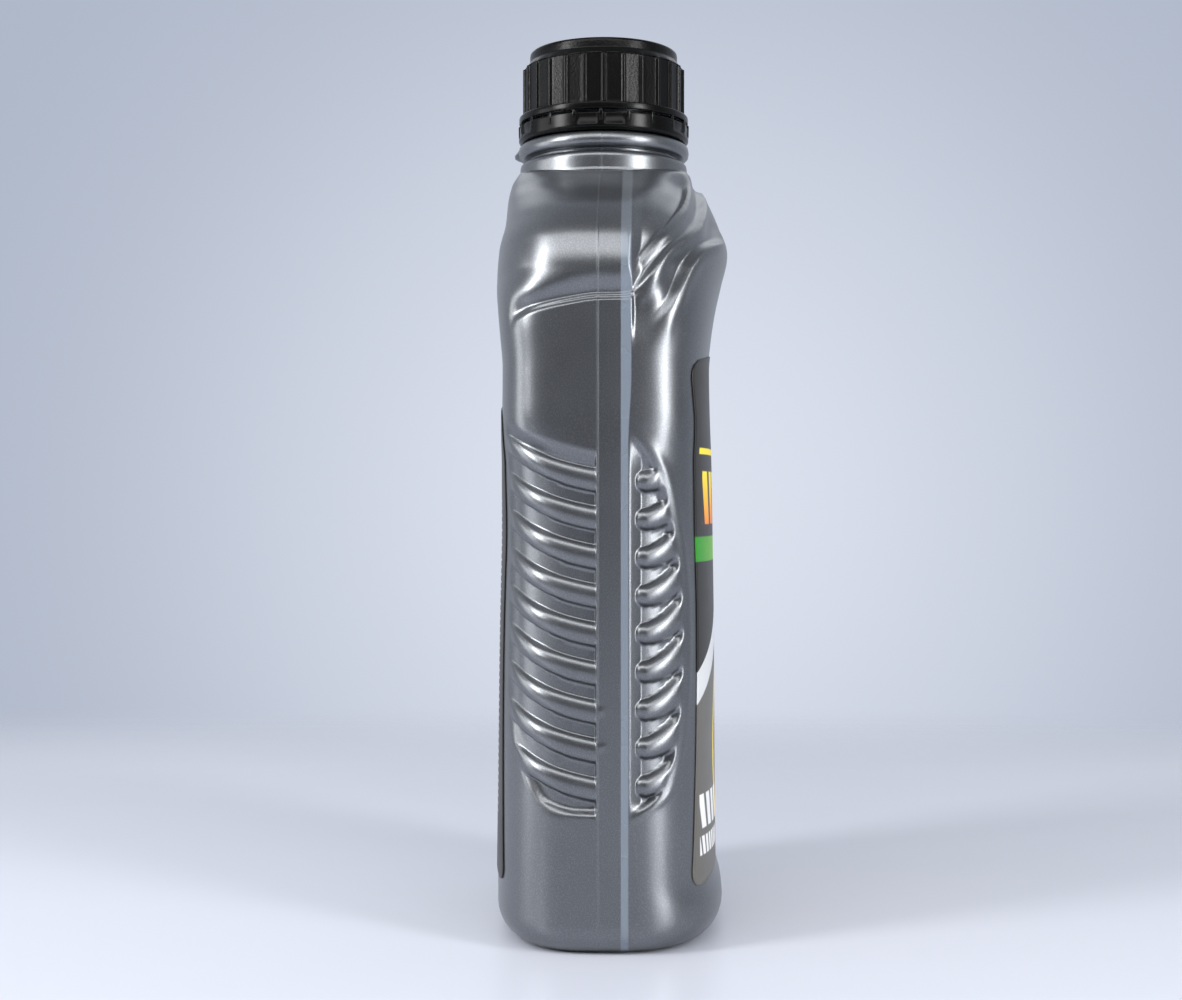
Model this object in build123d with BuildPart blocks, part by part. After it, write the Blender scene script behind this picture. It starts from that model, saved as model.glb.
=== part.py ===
"""One-litre oil bottle: a blown flat bottle with grip ribs, its fill, labels and screw closure.

Millimetres, +Z up. X runs along the width of the bottle, Y through its depth, and the front
faces -Y. The origin lies on the standing plane, in the middle of the overall width and depth.
"""

from dataclasses import dataclass
import math
import os

from build123d import *

# Overall sizes of the blown body.
body_length = 110.0
body_depth = 64.4
body_height = 206.9  # up to the root of the neck
front_bulge = 5.6  # how much deeper the front half is than the back half
wall = 1.1
squareness = 3.0  # exponent of the level outline, 2 is an ellipse
outline_points = 32

# Heights of the body's features.
foot_rounding = 8.0
foot_steps = 4
lip_height = 10.8
label_foot = 17.5
grip_bottom = 38.0
grip_blend = 4.0  # height over which the grip sinks in at its bottom
grip_steps = 4
grip_to_waist = 26.0
waist_blend = 12.0
waist_to_ledge = 18.0
ledge_to_shoulder = 15.0
ledge_step = 2.0
bulge_drop = 8.0  # widest point of the ends below the shoulder
shoulder_to_neck = 21.9

# How far the faces lie behind the widest points.
foot_inset = 1.6
label_inset = 3.6
waist_inset = 5.6
back_inset = 0.5
waist_back_inset = 2.8
grip_recess = 1.4
waist_recess = 0.4
ledge_recess = 1.6
bulge_recess = 0.7
bulge_inset = 1.7
bulge_back_inset = 0.2
shoulder_recess = 2.9
shoulder_back_inset = 0.6
shoulder_squareness = 2.9
lip_taper = 0.2
taper_power = 2.0  # how late the faces draw in towards the waist
flare_front = 2.2  # how far the faces swell again between the waist and the ledge
flare_back = 1.8
flare_power = 1.4

# From the shoulder to the neck: share of the climb, then what is left of the reach beyond the
# neck of the ends, the front and the back, then the squareness.
neck_blend = [
    (0.37, 0.78, 0.76, 0.46, 2.7),
    (0.65, 0.47, 0.48, 0.3, 2.4),
    (0.84, 0.21, 0.23, 0.14, 2.1),
    (1.0, 0.0, 0.0, 0.0, 2.0),
]

# Underside.
standing_ring = 7.0
push_up = 3.0

# Grip ribs on both ends, with a plain strip between the two panels of ribs.
rib_count = 9
rib_first = 7.5  # lowest rib, above the bottom of the grip
rib_last = 2.1  # highest rib, below the top of the grip
rib_height = 1.4
rib_thickness = 5.4
rib_length_back = 23.0
rib_slope_back = 17.0
rib_length_front = 12.0
rib_slope_front = 24.0
strip_width = 8.4
strip_gap = 2.2

# Neck finish, from the body upwards.
neck_radius = 23.8
neck_foot_height = 5.8
groove_depth = 1.5
groove_height = 1.4
support_reach = 0.5
support_height = 3.7
edge_round = 0.6
lug_width = 3.0
lug_height = 2.6
lug_reach = 1.5
tamper_bead_reach = 1.4
tamper_bead_rise = 2.8
tamper_bead_height = 1.6
finish_height = 23.6  # mouth above the support ring
finish_wall = 2.5

# Two-start screw thread.
thread_starts = 2
thread_wall_radius = 19.6
thread_lead = 8.0
thread_height = 1.3
thread_root = 2.0
thread_crest = 1.0
thread_rise = 11.2  # start of the neck's thread above the support ring
thread_turns = 0.95
thread_overlap = 0.4  # how deep a ridge is rooted in its wall

# Closure.
radial_clearance = 0.4
cap_wall = 1.3
cap_roof = 1.5
flange_height = 2.0
flange_reach = 1.5
flange_wall = 1.6
cap_rib_count = 26
cap_rib_width = 1.15
cap_rib_reach = 0.55
cap_rib_first = -95.0
cap_shoulder_drop = 4.6  # start of the cap's sloped shoulder below its top
cap_shoulder_height = 1.7
cap_shoulder_inset = 1.6
cap_rim_round = 0.9
liner_thickness = 1.2
liner_clearance = 0.2

# Tamper band, left on the neck below the cap.
band_seat = 0.3
band_height = 4.7
band_slit = 1.0
band_wall = 1.3
band_chamfer = 0.8
flap_clearance = 0.6
flap_height = 1.0
bridge_count = 20
bridge_width = 1.2
bridge_depth = 0.9
bridge_gap = 0.05

# Labels.
label_thickness = 0.25
label_gap = 0.08
label_bottom = 15.0
label_rise = 5.0  # top of the front label above the waist
back_label_drop = 8.0
label_margin = 9.8  # plain end of the body beside the front label
back_label_inset = 6.5  # how much narrower the back label is at each side
label_waist_inset = 3.5
label_arch = 4.0
label_foot_arch = 3.5
label_corner = 5.0

# Fill.
headspace = 10.3
fill_clearance = 0.3

# Sizes that follow from the ones above.
half_length = body_length / 2
axis_y = front_bulge / 2  # parting plane and neck axis
shoulder_front = body_depth / 2 + axis_y  # depths are measured from the parting plane
shoulder_back = body_depth / 2 - axis_y
foot_front = shoulder_front - foot_inset
label_front = shoulder_front - label_inset
waist_front = shoulder_front - waist_inset
body_back = shoulder_back - back_inset
waist_back = shoulder_back - waist_back_inset

shoulder_height = body_height - shoulder_to_neck
ledge_height = shoulder_height - ledge_to_shoulder
waist_height = ledge_height - waist_to_ledge
grip_top = waist_height - grip_to_waist
rib_pitch = (grip_top - grip_bottom - rib_first - rib_last) / (rib_count - 1)

neck_foot_top = body_height + neck_foot_height
groove_radius = neck_radius - groove_depth
support_radius = neck_radius + support_reach
support_bottom = neck_foot_top + groove_height
support_top = support_bottom + support_height
mouth_height = support_top + finish_height
thread_crest_radius = thread_wall_radius + thread_height
tamper_bead_radius = thread_crest_radius + tamper_bead_reach
tamper_bead_bottom = support_top + tamper_bead_rise
tamper_bead_top = tamper_bead_bottom + tamper_bead_height
bore_radius = thread_wall_radius - finish_wall
bore_bottom = support_top + 1.0
neck_thread_start = support_top + thread_rise
cap_thread_start = neck_thread_start - thread_lead / thread_starts / 2

band_bottom = support_top + band_seat
band_top = band_bottom + band_height
band_bore_radius = tamper_bead_radius + radial_clearance + 0.2
band_radius = band_bore_radius + band_wall
flap_bore_radius = thread_crest_radius + flap_clearance

cap_bottom = band_top + band_slit
flange_top = cap_bottom + flange_height
cap_underside = mouth_height + liner_thickness
cap_top = cap_underside + cap_roof
cap_bore_radius = thread_crest_radius + radial_clearance
cap_seat_radius = thread_wall_radius + radial_clearance
cap_grip_radius = cap_bore_radius + cap_wall
flange_radius = cap_grip_radius + flange_reach
flange_bore_radius = flange_radius - flange_wall
cap_shoulder_bottom = cap_top - cap_shoulder_drop
cap_shoulder_top = cap_shoulder_bottom + cap_shoulder_height
cap_top_radius = cap_grip_radius - cap_shoulder_inset
liner_radius = cap_seat_radius - liner_clearance

label_half_width = half_length - label_margin
label_top = waist_height + label_rise
back_label_top = waist_height - back_label_drop
fill_height = body_height - headspace

neck_plane = Plane.XZ.offset(-axis_y)
neck_axis = Axis((0, axis_y, 0), (0, 0, 1))


@dataclass
class Level:
    """One level outline of the body: its height, half length, two depths and squareness."""

    height: float
    end: float
    front: float
    back: float
    power: float = squareness


def outline(level: Level, grow: float = 0.0) -> Sketch:
    """Face of one level outline, grown outwards by grow."""
    points = []
    for index in range(outline_points):
        turn = 2 * math.pi * index / outline_points
        run, rise = math.cos(turn), math.sin(turn)
        depth = (level.back if rise > 0 else level.front) + grow
        x = math.copysign(abs(run) ** (2 / level.power), run) * (level.end + grow)
        y = math.copysign(abs(rise) ** (2 / level.power), rise) * depth
        points.append((x, axis_y + y))
    with BuildSketch(Plane.XY.offset(level.height)) as face:
        with BuildLine():
            Spline(*points, periodic=True)
        make_face()
    return face.sketch


def foot_levels(grow: float) -> list[Level]:
    """Outlines of the rounded foot with its face grown by grow, up to the end of the rounding."""
    levels = []
    radius = foot_rounding + grow
    for step in range(foot_steps + 1):
        turn = math.radians(90 * step / foot_steps)
        inset = foot_rounding - radius * math.sin(turn)
        height = foot_rounding - radius * math.cos(turn)
        levels.append(Level(height, half_length - inset, foot_front - inset, body_back - inset))
    return levels


def side(height: float, recess: float) -> Level:
    """Side outline at a height from the label's foot up to the ledge, its ends recessed."""
    taper = min((height - label_foot) / (waist_height - label_foot), 1.0) ** taper_power
    flare = max((height - waist_height) / waist_to_ledge, 0.0) ** flare_power
    front = label_front - taper * (label_front - waist_front) + flare * flare_front
    back = body_back - taper * (body_back - waist_back) + flare * flare_back
    return Level(height, half_length - recess, front, back)


def side_levels() -> list[Level]:
    """Outlines of the sides, from the end of the foot's rounding up to the ledge."""
    grip_start = grip_bottom + grip_blend
    grip_step = (grip_top - grip_start) / grip_steps
    return [
        Level(foot_rounding, half_length, foot_front, body_back),
        Level(lip_height, half_length, foot_front - lip_taper, body_back),
        side(label_foot, 0),
        side((label_foot + grip_bottom) / 2, 0),
        side(grip_bottom - grip_blend, 0),
        *[side(grip_start + step * grip_step, grip_recess) for step in range(grip_steps + 1)],
        side(waist_height - waist_blend, waist_recess),
        side(waist_height, waist_recess),
        side((waist_height + ledge_height) / 2, waist_recess),
        side(ledge_height - ledge_step, waist_recess),
    ]


def shoulder_levels(drop: float) -> list[Level]:
    """Outlines of the shoulder, from the ledge up to the root of the neck, its top drop lower."""
    levels = [
        side(ledge_height, ledge_recess),
        Level(
            shoulder_height - bulge_drop,
            half_length - bulge_recess,
            shoulder_front - bulge_inset,
            shoulder_back - bulge_back_inset,
        ),
        Level(
            shoulder_height - drop / 2,
            half_length - shoulder_recess,
            shoulder_front,
            shoulder_back - shoulder_back_inset,
            shoulder_squareness,
        ),
    ]
    for share, ends, fronts, backs, power in neck_blend:
        levels.append(
            Level(
                shoulder_height + share * shoulder_to_neck - drop,
                neck_radius + ends * (half_length - shoulder_recess - neck_radius),
                neck_radius + fronts * (shoulder_front - neck_radius),
                neck_radius + backs * (shoulder_back - neck_radius),
                power,
            )
        )
    return levels


def body(grow: float) -> Part:
    """The whole body below the neck, with its face grown by grow, cut at its ends."""
    foot = [outline(level) for level in foot_levels(grow)]
    side = [outline(level, grow) for level in side_levels()]
    shoulder = [outline(level, grow) for level in shoulder_levels(-grow)]
    with BuildPart() as whole:
        loft(sections=foot)
        loft(sections=side)
        loft(sections=[side[-1], shoulder[0]], ruled=True)
        loft(sections=shoulder)
    return whole.part


def underside(grow: float) -> list[Sketch]:
    """Sections of the hollow under the body, grown by grow."""
    foot = foot_levels(0)[0]
    roof = Level(push_up + grow, foot.end, foot.front, foot.back)
    return [outline(foot, grow - standing_ring), outline(roof, grow - standing_ring - push_up)]


def interior(clearance: float) -> Part:
    """Space inside the blown body and into its neck, clearance away from the inner face."""
    with BuildPart() as space:
        add(body(-wall - clearance))
        with Locations((0, axis_y, body_height)):
            Cylinder(neck_radius - 2 * wall, 4 * wall)
        loft(sections=underside(wall + clearance), mode=Mode.SUBTRACT)
    return space.part


def thread_ridge(wall_radius: float, outward: bool) -> Part:
    """One start of the screw thread about the Z axis, on a wall of the given radius."""
    side = 1 if outward else -1
    with BuildPart() as ridge:
        with BuildLine() as path:
            Helix(thread_lead, thread_lead * thread_turns, wall_radius)
        with BuildSketch(Plane(origin=path.line @ 0, x_dir=(1, 0, 0), z_dir=path.line % 0)):
            with BuildLine():
                Polyline(
                    (-side * thread_overlap, -thread_root / 2),
                    (0, -thread_root / 2),
                    (side * thread_height, -thread_crest / 2),
                    (side * thread_height, thread_crest / 2),
                    (0, thread_root / 2),
                    (-side * thread_overlap, thread_root / 2),
                    close=True,
                )
            make_face()
        sweep(path=path.line, is_frenet=True)
    return ridge.part


def about_neck(height: float, count: int, first: float = 0.0) -> list[Location]:
    """Evenly spaced turns about the neck's axis, at one height."""
    step = 360 / count
    return [Location((0, axis_y, height), (0, 0, first + index * step)) for index in range(count)]


def label_shape(top: float, half_width: float) -> Sketch:
    """Waisted label outline with an arched top and foot."""
    waist = half_width - label_waist_inset
    middle = (label_bottom + top) / 2
    upper_left = (-half_width, top - label_arch)
    upper_right = (half_width, top - label_arch)
    lower_left = (-half_width, label_bottom)
    lower_right = (half_width, label_bottom)
    with BuildSketch(Plane.XZ) as face:
        with BuildLine():
            ThreePointArc(lower_left, (0, label_bottom + label_foot_arch), lower_right)
            ThreePointArc(lower_right, (waist, middle), upper_right)
            ThreePointArc(upper_right, (0, top), upper_left)
            ThreePointArc(upper_left, (-waist, middle), lower_left)
        make_face()
        fillet(face.vertices(), label_corner)
    return face.sketch


def label(top: float, half_width: float, toward: int) -> Part:
    """Thin label wrapped on the side of the body, on the front if toward is 1, else the back."""
    with BuildPart() as skin:
        loft(sections=[outline(level, label_gap + label_thickness) for level in side_levels()])
        loft(sections=[outline(level, label_gap) for level in side_levels()], mode=Mode.SUBTRACT)
        with BuildSketch(Plane.XZ):
            add(label_shape(top, half_width))
        extrude(amount=toward * body_depth, mode=Mode.INTERSECT)
    return skin.part


# Grip ribs and the strip between them, straight through both ends of the body.
with BuildPart() as grips:
    with BuildSketch(Plane.YZ):
        back_middle = rib_length_back / 2 - 1
        back_rise = math.tan(math.radians(rib_slope_back)) * back_middle
        front_middle = -strip_width - strip_gap - rib_length_front / 2
        for index in range(rib_count):
            height = grip_bottom + rib_first + index * rib_pitch
            with Locations((axis_y + back_middle, height + back_rise)):
                SlotOverall(rib_length_back, rib_thickness, rotation=rib_slope_back)
            with Locations((axis_y + front_middle, height)):
                SlotOverall(rib_length_front, rib_thickness, rotation=-rib_slope_front)
        with Locations((axis_y - strip_width / 2, (grip_bottom + grip_top) / 2)):
            Rectangle(strip_width, grip_top - grip_bottom)
    extrude(amount=half_length, both=True)
    loft(sections=[outline(level, rib_height) for level in side_levels()], mode=Mode.INTERSECT)

with BuildPart() as bottle:
    add(body(0))
    add(grips.part)
    loft(sections=underside(0), mode=Mode.SUBTRACT)
    add(interior(0), mode=Mode.SUBTRACT)
    # Neck finish, drawn up the outside from the body and back down the bore.
    with BuildSketch(neck_plane):
        with BuildLine():
            Polyline(
                (neck_radius - 1.5 * wall, body_height - 1.5 * wall),
                (neck_radius - wall / 2, body_height - 1.5 * wall),
                (neck_radius - wall / 2, body_height + wall / 4),
                (neck_radius, body_height + wall),
                (neck_radius, neck_foot_top - edge_round),
                (neck_radius - edge_round, neck_foot_top),
                (groove_radius, neck_foot_top),
                (groove_radius, support_bottom),
                (support_radius - edge_round, support_bottom),
                (support_radius, support_bottom + edge_round),
                (support_radius, support_top - edge_round),
                (support_radius - edge_round, support_top),
                (thread_crest_radius, support_top),
                (thread_crest_radius, tamper_bead_bottom),
                (tamper_bead_radius, tamper_bead_bottom),
                (thread_wall_radius, tamper_bead_top),
                (thread_wall_radius, mouth_height - edge_round),
                (thread_wall_radius - edge_round, mouth_height),
                (bore_radius, mouth_height),
                (bore_radius, bore_bottom),
                (groove_radius - wall, neck_foot_top - wall),
                (neck_radius - 1.5 * wall, body_height + wall),
                close=True,
            )
        make_face()
    revolve(axis=neck_axis)
    with Locations((0, axis_y + support_radius, support_bottom + lug_height / 2)):
        Box(lug_width, 2 * lug_reach, lug_height)
    with Locations(*about_neck(neck_thread_start, thread_starts)):
        add(thread_ridge(thread_wall_radius, True))

with BuildPart() as oil:
    add(interior(fill_clearance))
    with Locations((0, axis_y, fill_height)):
        Box(
            2 * body_length,
            2 * body_depth,
            2 * body_height,
            align=(Align.CENTER, Align.CENTER, Align.MIN),
            mode=Mode.SUBTRACT,
        )

with BuildPart() as tamper_band:
    with BuildSketch(neck_plane):
        with BuildLine():
            Polyline(
                (flap_bore_radius, band_bottom),
                (band_radius - band_chamfer, band_bottom),
                (band_radius, band_bottom + band_chamfer),
                (band_radius, band_top),
                (band_bore_radius, band_top),
                (band_bore_radius, band_bottom + flap_height),
                (flap_bore_radius, band_bottom + flap_height),
                close=True,
            )
        make_face()
    revolve(axis=neck_axis)
    bridge_middle = band_bore_radius + bridge_depth / 2 + 0.1
    for place in about_neck(band_top, bridge_count):
        with Locations(place):
            with Locations((bridge_middle, 0, 0)):
                Box(
                    bridge_depth,
                    bridge_width,
                    band_slit - bridge_gap,
                    align=(Align.CENTER, Align.CENTER, Align.MIN),
                )

# One grip rib of the cap, standing on the flange with a rounded upper end.
with BuildPart() as cap_rib:
    with BuildSketch(Plane.YZ.offset(cap_grip_radius - cap_rib_reach)):
        with Locations((0, (flange_top + cap_shoulder_bottom) / 2 - cap_rib_width / 2)):
            SlotOverall(
                cap_shoulder_bottom - flange_top + cap_rib_width, cap_rib_width, rotation=90
            )
    extrude(amount=2 * cap_rib_reach)

with BuildPart() as cap:
    with BuildSketch(neck_plane):
        with BuildLine():
            rim_start = (cap_top_radius, cap_top - cap_rim_round)
            rim_end = (cap_top_radius - cap_rim_round, cap_top)
            Polyline(
                (0, cap_top),
                (0, cap_underside),
                (cap_seat_radius, cap_underside),
                (cap_seat_radius, cap_shoulder_bottom),
                (cap_bore_radius, cap_shoulder_bottom - cap_wall),
                (cap_bore_radius, flange_top + cap_wall / 2),
                (flange_bore_radius, flange_top),
                (flange_bore_radius, cap_bottom),
                (flange_radius, cap_bottom),
                (flange_radius, flange_top),
                (cap_grip_radius, flange_top),
                (cap_grip_radius, cap_shoulder_bottom),
                (cap_top_radius, cap_shoulder_top),
                rim_start,
            )
            RadiusArc(rim_start, rim_end, -cap_rim_round)
            Line(rim_end, (0, cap_top))
        make_face()
    revolve(axis=neck_axis)
    with Locations(*about_neck(0, cap_rib_count, cap_rib_first)):
        add(cap_rib.part)
    with Locations(*about_neck(cap_thread_start, thread_starts)):
        add(thread_ridge(cap_bore_radius, False))

with BuildPart() as cap_liner:
    with Locations((0, axis_y, mouth_height)):
        Cylinder(
            liner_radius, liner_thickness, align=(Align.CENTER, Align.CENTER, Align.MIN)
        )

with BuildPart() as front_label:
    add(label(label_top, label_half_width, 1))

with BuildPart() as back_label:
    add(label(back_label_top, label_half_width - back_label_inset, -1))

os.makedirs("parts", exist_ok=True)
bottle.part.label = "bottle"
export_step(bottle.part, "parts/bottle.step")
oil.part.label = "oil"
export_step(oil.part, "parts/oil.step")
tamper_band.part.label = "tamper_band"
export_step(tamper_band.part, "parts/tamper_band.step")
cap.part.label = "cap"
export_step(cap.part, "parts/cap.step")
cap_liner.part.label = "cap_liner"
export_step(cap_liner.part, "parts/cap_liner.step")
front_label.part.label = "front_label"
export_step(front_label.part, "parts/front_label.step")
back_label.part.label = "back_label"
export_step(back_label.part, "parts/back_label.step")
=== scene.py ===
"""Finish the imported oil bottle: blown body with grips and folds, closure, labels and studio."""

from collections.abc import Sequence
from dataclasses import dataclass, field
from enum import Enum
import logging
import math

import bpy
import numpy as np
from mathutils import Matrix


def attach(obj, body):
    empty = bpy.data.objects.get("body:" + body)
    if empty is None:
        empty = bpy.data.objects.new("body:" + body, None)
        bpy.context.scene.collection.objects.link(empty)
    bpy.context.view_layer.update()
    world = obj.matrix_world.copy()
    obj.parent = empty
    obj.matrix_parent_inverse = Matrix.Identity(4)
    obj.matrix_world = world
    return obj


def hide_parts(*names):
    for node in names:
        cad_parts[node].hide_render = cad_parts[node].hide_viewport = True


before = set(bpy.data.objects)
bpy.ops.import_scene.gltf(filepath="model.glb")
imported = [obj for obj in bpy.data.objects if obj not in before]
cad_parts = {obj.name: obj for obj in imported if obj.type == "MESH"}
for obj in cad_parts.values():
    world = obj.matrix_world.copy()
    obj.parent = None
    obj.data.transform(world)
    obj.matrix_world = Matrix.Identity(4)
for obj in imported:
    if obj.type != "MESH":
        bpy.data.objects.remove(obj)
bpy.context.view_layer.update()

MM = 0.001  # sizes below are millimetres, and Blender's units are metres
AXIS_Y = 2.8  # how far behind the middle the neck's axis and the parting plane stand
NECK_RADIUS = 23.8
BODY_TOP = 206.9  # where the blown body ends and its neck starts
LOG = logging.getLogger("oil bottle")

Colour = tuple[float, float, float, float]
Faces = list[tuple[int, ...]]
Span = tuple[float, float]


# --- Curves and meshes -------------------------------------------------------------------------


def ramp(value: np.ndarray, low: float, high: float) -> np.ndarray:
    """Smooth step from 0 at low to 1 at high.

    Args:
        value: What is compared with the two bounds.
        low: Where the step starts.
        high: Where the step ends.

    Returns:
        The step, as an array of value's shape.
    """
    share = np.clip((value - low) / (high - low), 0.0, 1.0)
    return share * share * (3.0 - 2.0 * share)


def plateau(value: np.ndarray, rise: Span, fall: Span) -> np.ndarray:
    """Smooth rise from 0 to 1 over one span, and fall back to 0 over another."""
    return ramp(value, *rise) * (1.0 - ramp(value, *fall))


def between(value: np.ndarray, low: float, high: float, blur: float) -> np.ndarray:
    """1 between low and high, falling to 0 outside them over blur."""
    return plateau(value, (low - blur, low), (high, high + blur))


def hump(value: np.ndarray, centre: float, width: float) -> np.ndarray:
    """Bell curve of height 1 about a centre."""
    return np.exp(-(((value - centre) / width) ** 2))


def climbed(run: np.ndarray, climb: Span) -> np.ndarray:
    """Rise over a run whose climb starts at one slope and steepens evenly."""
    return climb[0] * run + climb[1] * run * run


def smooth_curve(x: np.ndarray, points: Sequence[Span]) -> np.ndarray:
    """Curve through points that never overshoots them, straight beyond the ends.

    Args:
        x: Where the curve is read.
        points: Place and height of each point, from the lowest place up.

    Returns:
        The curve's heights at x.
    """
    px, py = np.array(points, float).T
    step = np.diff(px)
    slope = np.diff(py) / step
    tangent = np.concatenate([slope[:1], np.zeros(len(slope) - 1), slope[-1:]])
    product = slope[:-1] * slope[1:]
    total = slope[:-1] + slope[1:]
    tangent[1:-1] = np.where(product > 0, 2 * product / np.where(total == 0, 1, total), 0)
    inside = np.clip(x, px[0], px[-1])
    index = np.clip(np.searchsorted(px, inside, side="right") - 1, 0, len(step) - 1)
    t = (inside - px[index]) / step[index]
    value = (
        (1 + 2 * t) * (1 - t) ** 2 * py[index]
        + t * (1 - t) ** 2 * step[index] * tangent[index]
        + t * t * (3 - 2 * t) * py[index + 1]
        + t * t * (t - 1) * step[index] * tangent[index + 1]
    )
    below, above = np.minimum(x - px[0], 0), np.maximum(x - px[-1], 0)
    return value + below * tangent[0] + above * tangent[-1]


def spread(stops: Sequence[Span], end: float, samples: int = 2000) -> np.ndarray:
    """Places from 0 to 1 whose spacing varies along a length.

    Args:
        stops: Pairs of a place on the length and the spacing wanted there.
        end: The length.
        samples: Number of samples along the length.

    Returns:
        Shares of the length, from 0 up to but without 1.
    """
    fine = np.linspace(0.0, end, samples)
    spacing = np.interp(fine, *zip(*stops))
    count = np.concatenate([[0.0], np.cumsum(np.diff(fine) / spacing[1:])])
    number = int(round(count[-1]))
    return np.interp(np.arange(number) * count[-1] / number, count, fine) / end


def rounded(corners: list[tuple[float, float, float]], steps: int = 3) -> list[Span]:
    """Polyline with its corners turned into arcs.

    Args:
        corners: Corners in order, each with the length taken off both its sides.
        steps: Number of chords in each arc.

    Returns:
        The points of the rounded line.
    """
    points: list[Span] = []
    for index, (x, y, cut) in enumerate(corners):
        if cut <= 0 or index in (0, len(corners) - 1):
            points.append((x, y))
            continue
        here = np.array((x, y))
        before = np.array(corners[index - 1][:2]) - here
        after = np.array(corners[index + 1][:2]) - here
        start = here + before / np.linalg.norm(before) * cut
        stop = here + after / np.linalg.norm(after) * cut
        for step in range(steps + 1):
            t = step / steps
            bend = (1 - t) ** 2 * start + 2 * t * (1 - t) * here + t * t * stop
            points.append((float(bend[0]), float(bend[1])))
    return points


def column_rows(radius: float, low: float, high: float, step: float) -> list[Span]:
    """Evenly spaced points up a straight wall, for a profile that is to carry relief."""
    return [(radius, float(height)) for height in np.arange(low, high, step)]


def normals_of(grid: np.ndarray) -> np.ndarray:
    """Unit normals of a grid of points whose columns close round.

    Args:
        grid: Rows by columns by 3 coordinates.

    Returns:
        Normals of the same shape, pointing out where the columns turn anticlockwise upwards.
    """
    along = np.roll(grid, -1, axis=1) - np.roll(grid, 1, axis=1)
    up = np.gradient(grid, axis=0)
    cross = np.cross(along, up)
    return cross / np.maximum(np.linalg.norm(cross, axis=2, keepdims=True), 1e-9)


def make_object(name: str, points: np.ndarray, faces: Faces) -> bpy.types.Object:
    """Smooth-shaded mesh object from points in millimetres.

    Args:
        name: The piece's name.
        points: Points by 3 coordinates.
        faces: Corners of each face, as indices of points.

    Returns:
        The new object, linked to the scene.
    """
    mesh = bpy.data.meshes.new(name)
    mesh.from_pydata((points * MM).tolist(), [], faces)
    mesh.validate()
    mesh.shade_smooth()
    made = bpy.data.objects.new(name, mesh)
    bpy.context.scene.collection.objects.link(made)
    return made


def dress(
    made: bpy.types.Object, finish: bpy.types.Material, node: str, body: str
) -> bpy.types.Object:
    """Give a piece its finish, and say what it replaces, rides on and is made of.

    Args:
        made: The piece.
        finish: Its material.
        node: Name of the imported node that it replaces.
        body: Name of the body that it rides on.

    Returns:
        The same piece.
    """
    made.data.materials.append(finish)
    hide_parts(node)
    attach(made, body)
    return made


def skin(grid: np.ndarray, ring: bool = False, first: int = 0) -> Faces:
    """Faces over a grid of points whose columns close round.

    Args:
        grid: Rows by columns by 3 coordinates, in order along the surface.
        ring: True if the last row joins the first, otherwise both ends are capped.
        first: Index of the grid's first point in the mesh.

    Returns:
        The faces, facing out of the volume.
    """
    rows, columns = grid.shape[:2]
    last = rows if ring else rows - 1
    faces: Faces = []
    for row in range(last):
        low, high = first + row * columns, first + (row + 1) % rows * columns
        for column in range(columns):
            after = (column + 1) % columns
            faces.append((low + column, low + after, high + after, high + column))
    if not ring:
        faces.append(tuple(first + index for index in reversed(range(columns))))
        top = first + (rows - 1) * columns
        faces.append(tuple(top + index for index in range(columns)))
    return faces


def lathe(profile: list[Span], angles: np.ndarray) -> np.ndarray:
    """Grid of points from a profile turned about the neck's axis.

    Args:
        profile: Radius and height of each row.
        angles: Angle of each column, anticlockwise from +X.

    Returns:
        Rows by columns by 3 coordinates.
    """
    radius, height = np.array(profile).T[:, :, None]
    x = radius * np.cos(angles)
    y = AXIS_Y + radius * np.sin(angles)
    return np.stack([x, y, np.broadcast_to(height, x.shape)], axis=2)


def about_neck(grid: np.ndarray) -> tuple[np.ndarray, np.ndarray, np.ndarray]:
    """X, Y from the neck's axis, and distance from that axis, of a grid's points."""
    x, y = grid[:, :, 0], grid[:, :, 1] - AXIS_Y
    return x, y, np.hypot(x, y)


def pushed_out(grid: np.ndarray, relief: np.ndarray) -> np.ndarray:
    """Move a grid's points away from the neck's axis, keeping their heights.

    Args:
        grid: Rows by columns by 3 coordinates.
        relief: How far each point moves.

    Returns:
        The moved points.
    """
    x, y, radius = about_neck(grid)
    scale = (radius + relief) / radius
    return np.stack([x * scale, AXIS_Y + y * scale, grid[:, :, 2]], axis=2)


# --- Shader expressions ------------------------------------------------------------------------


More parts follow.
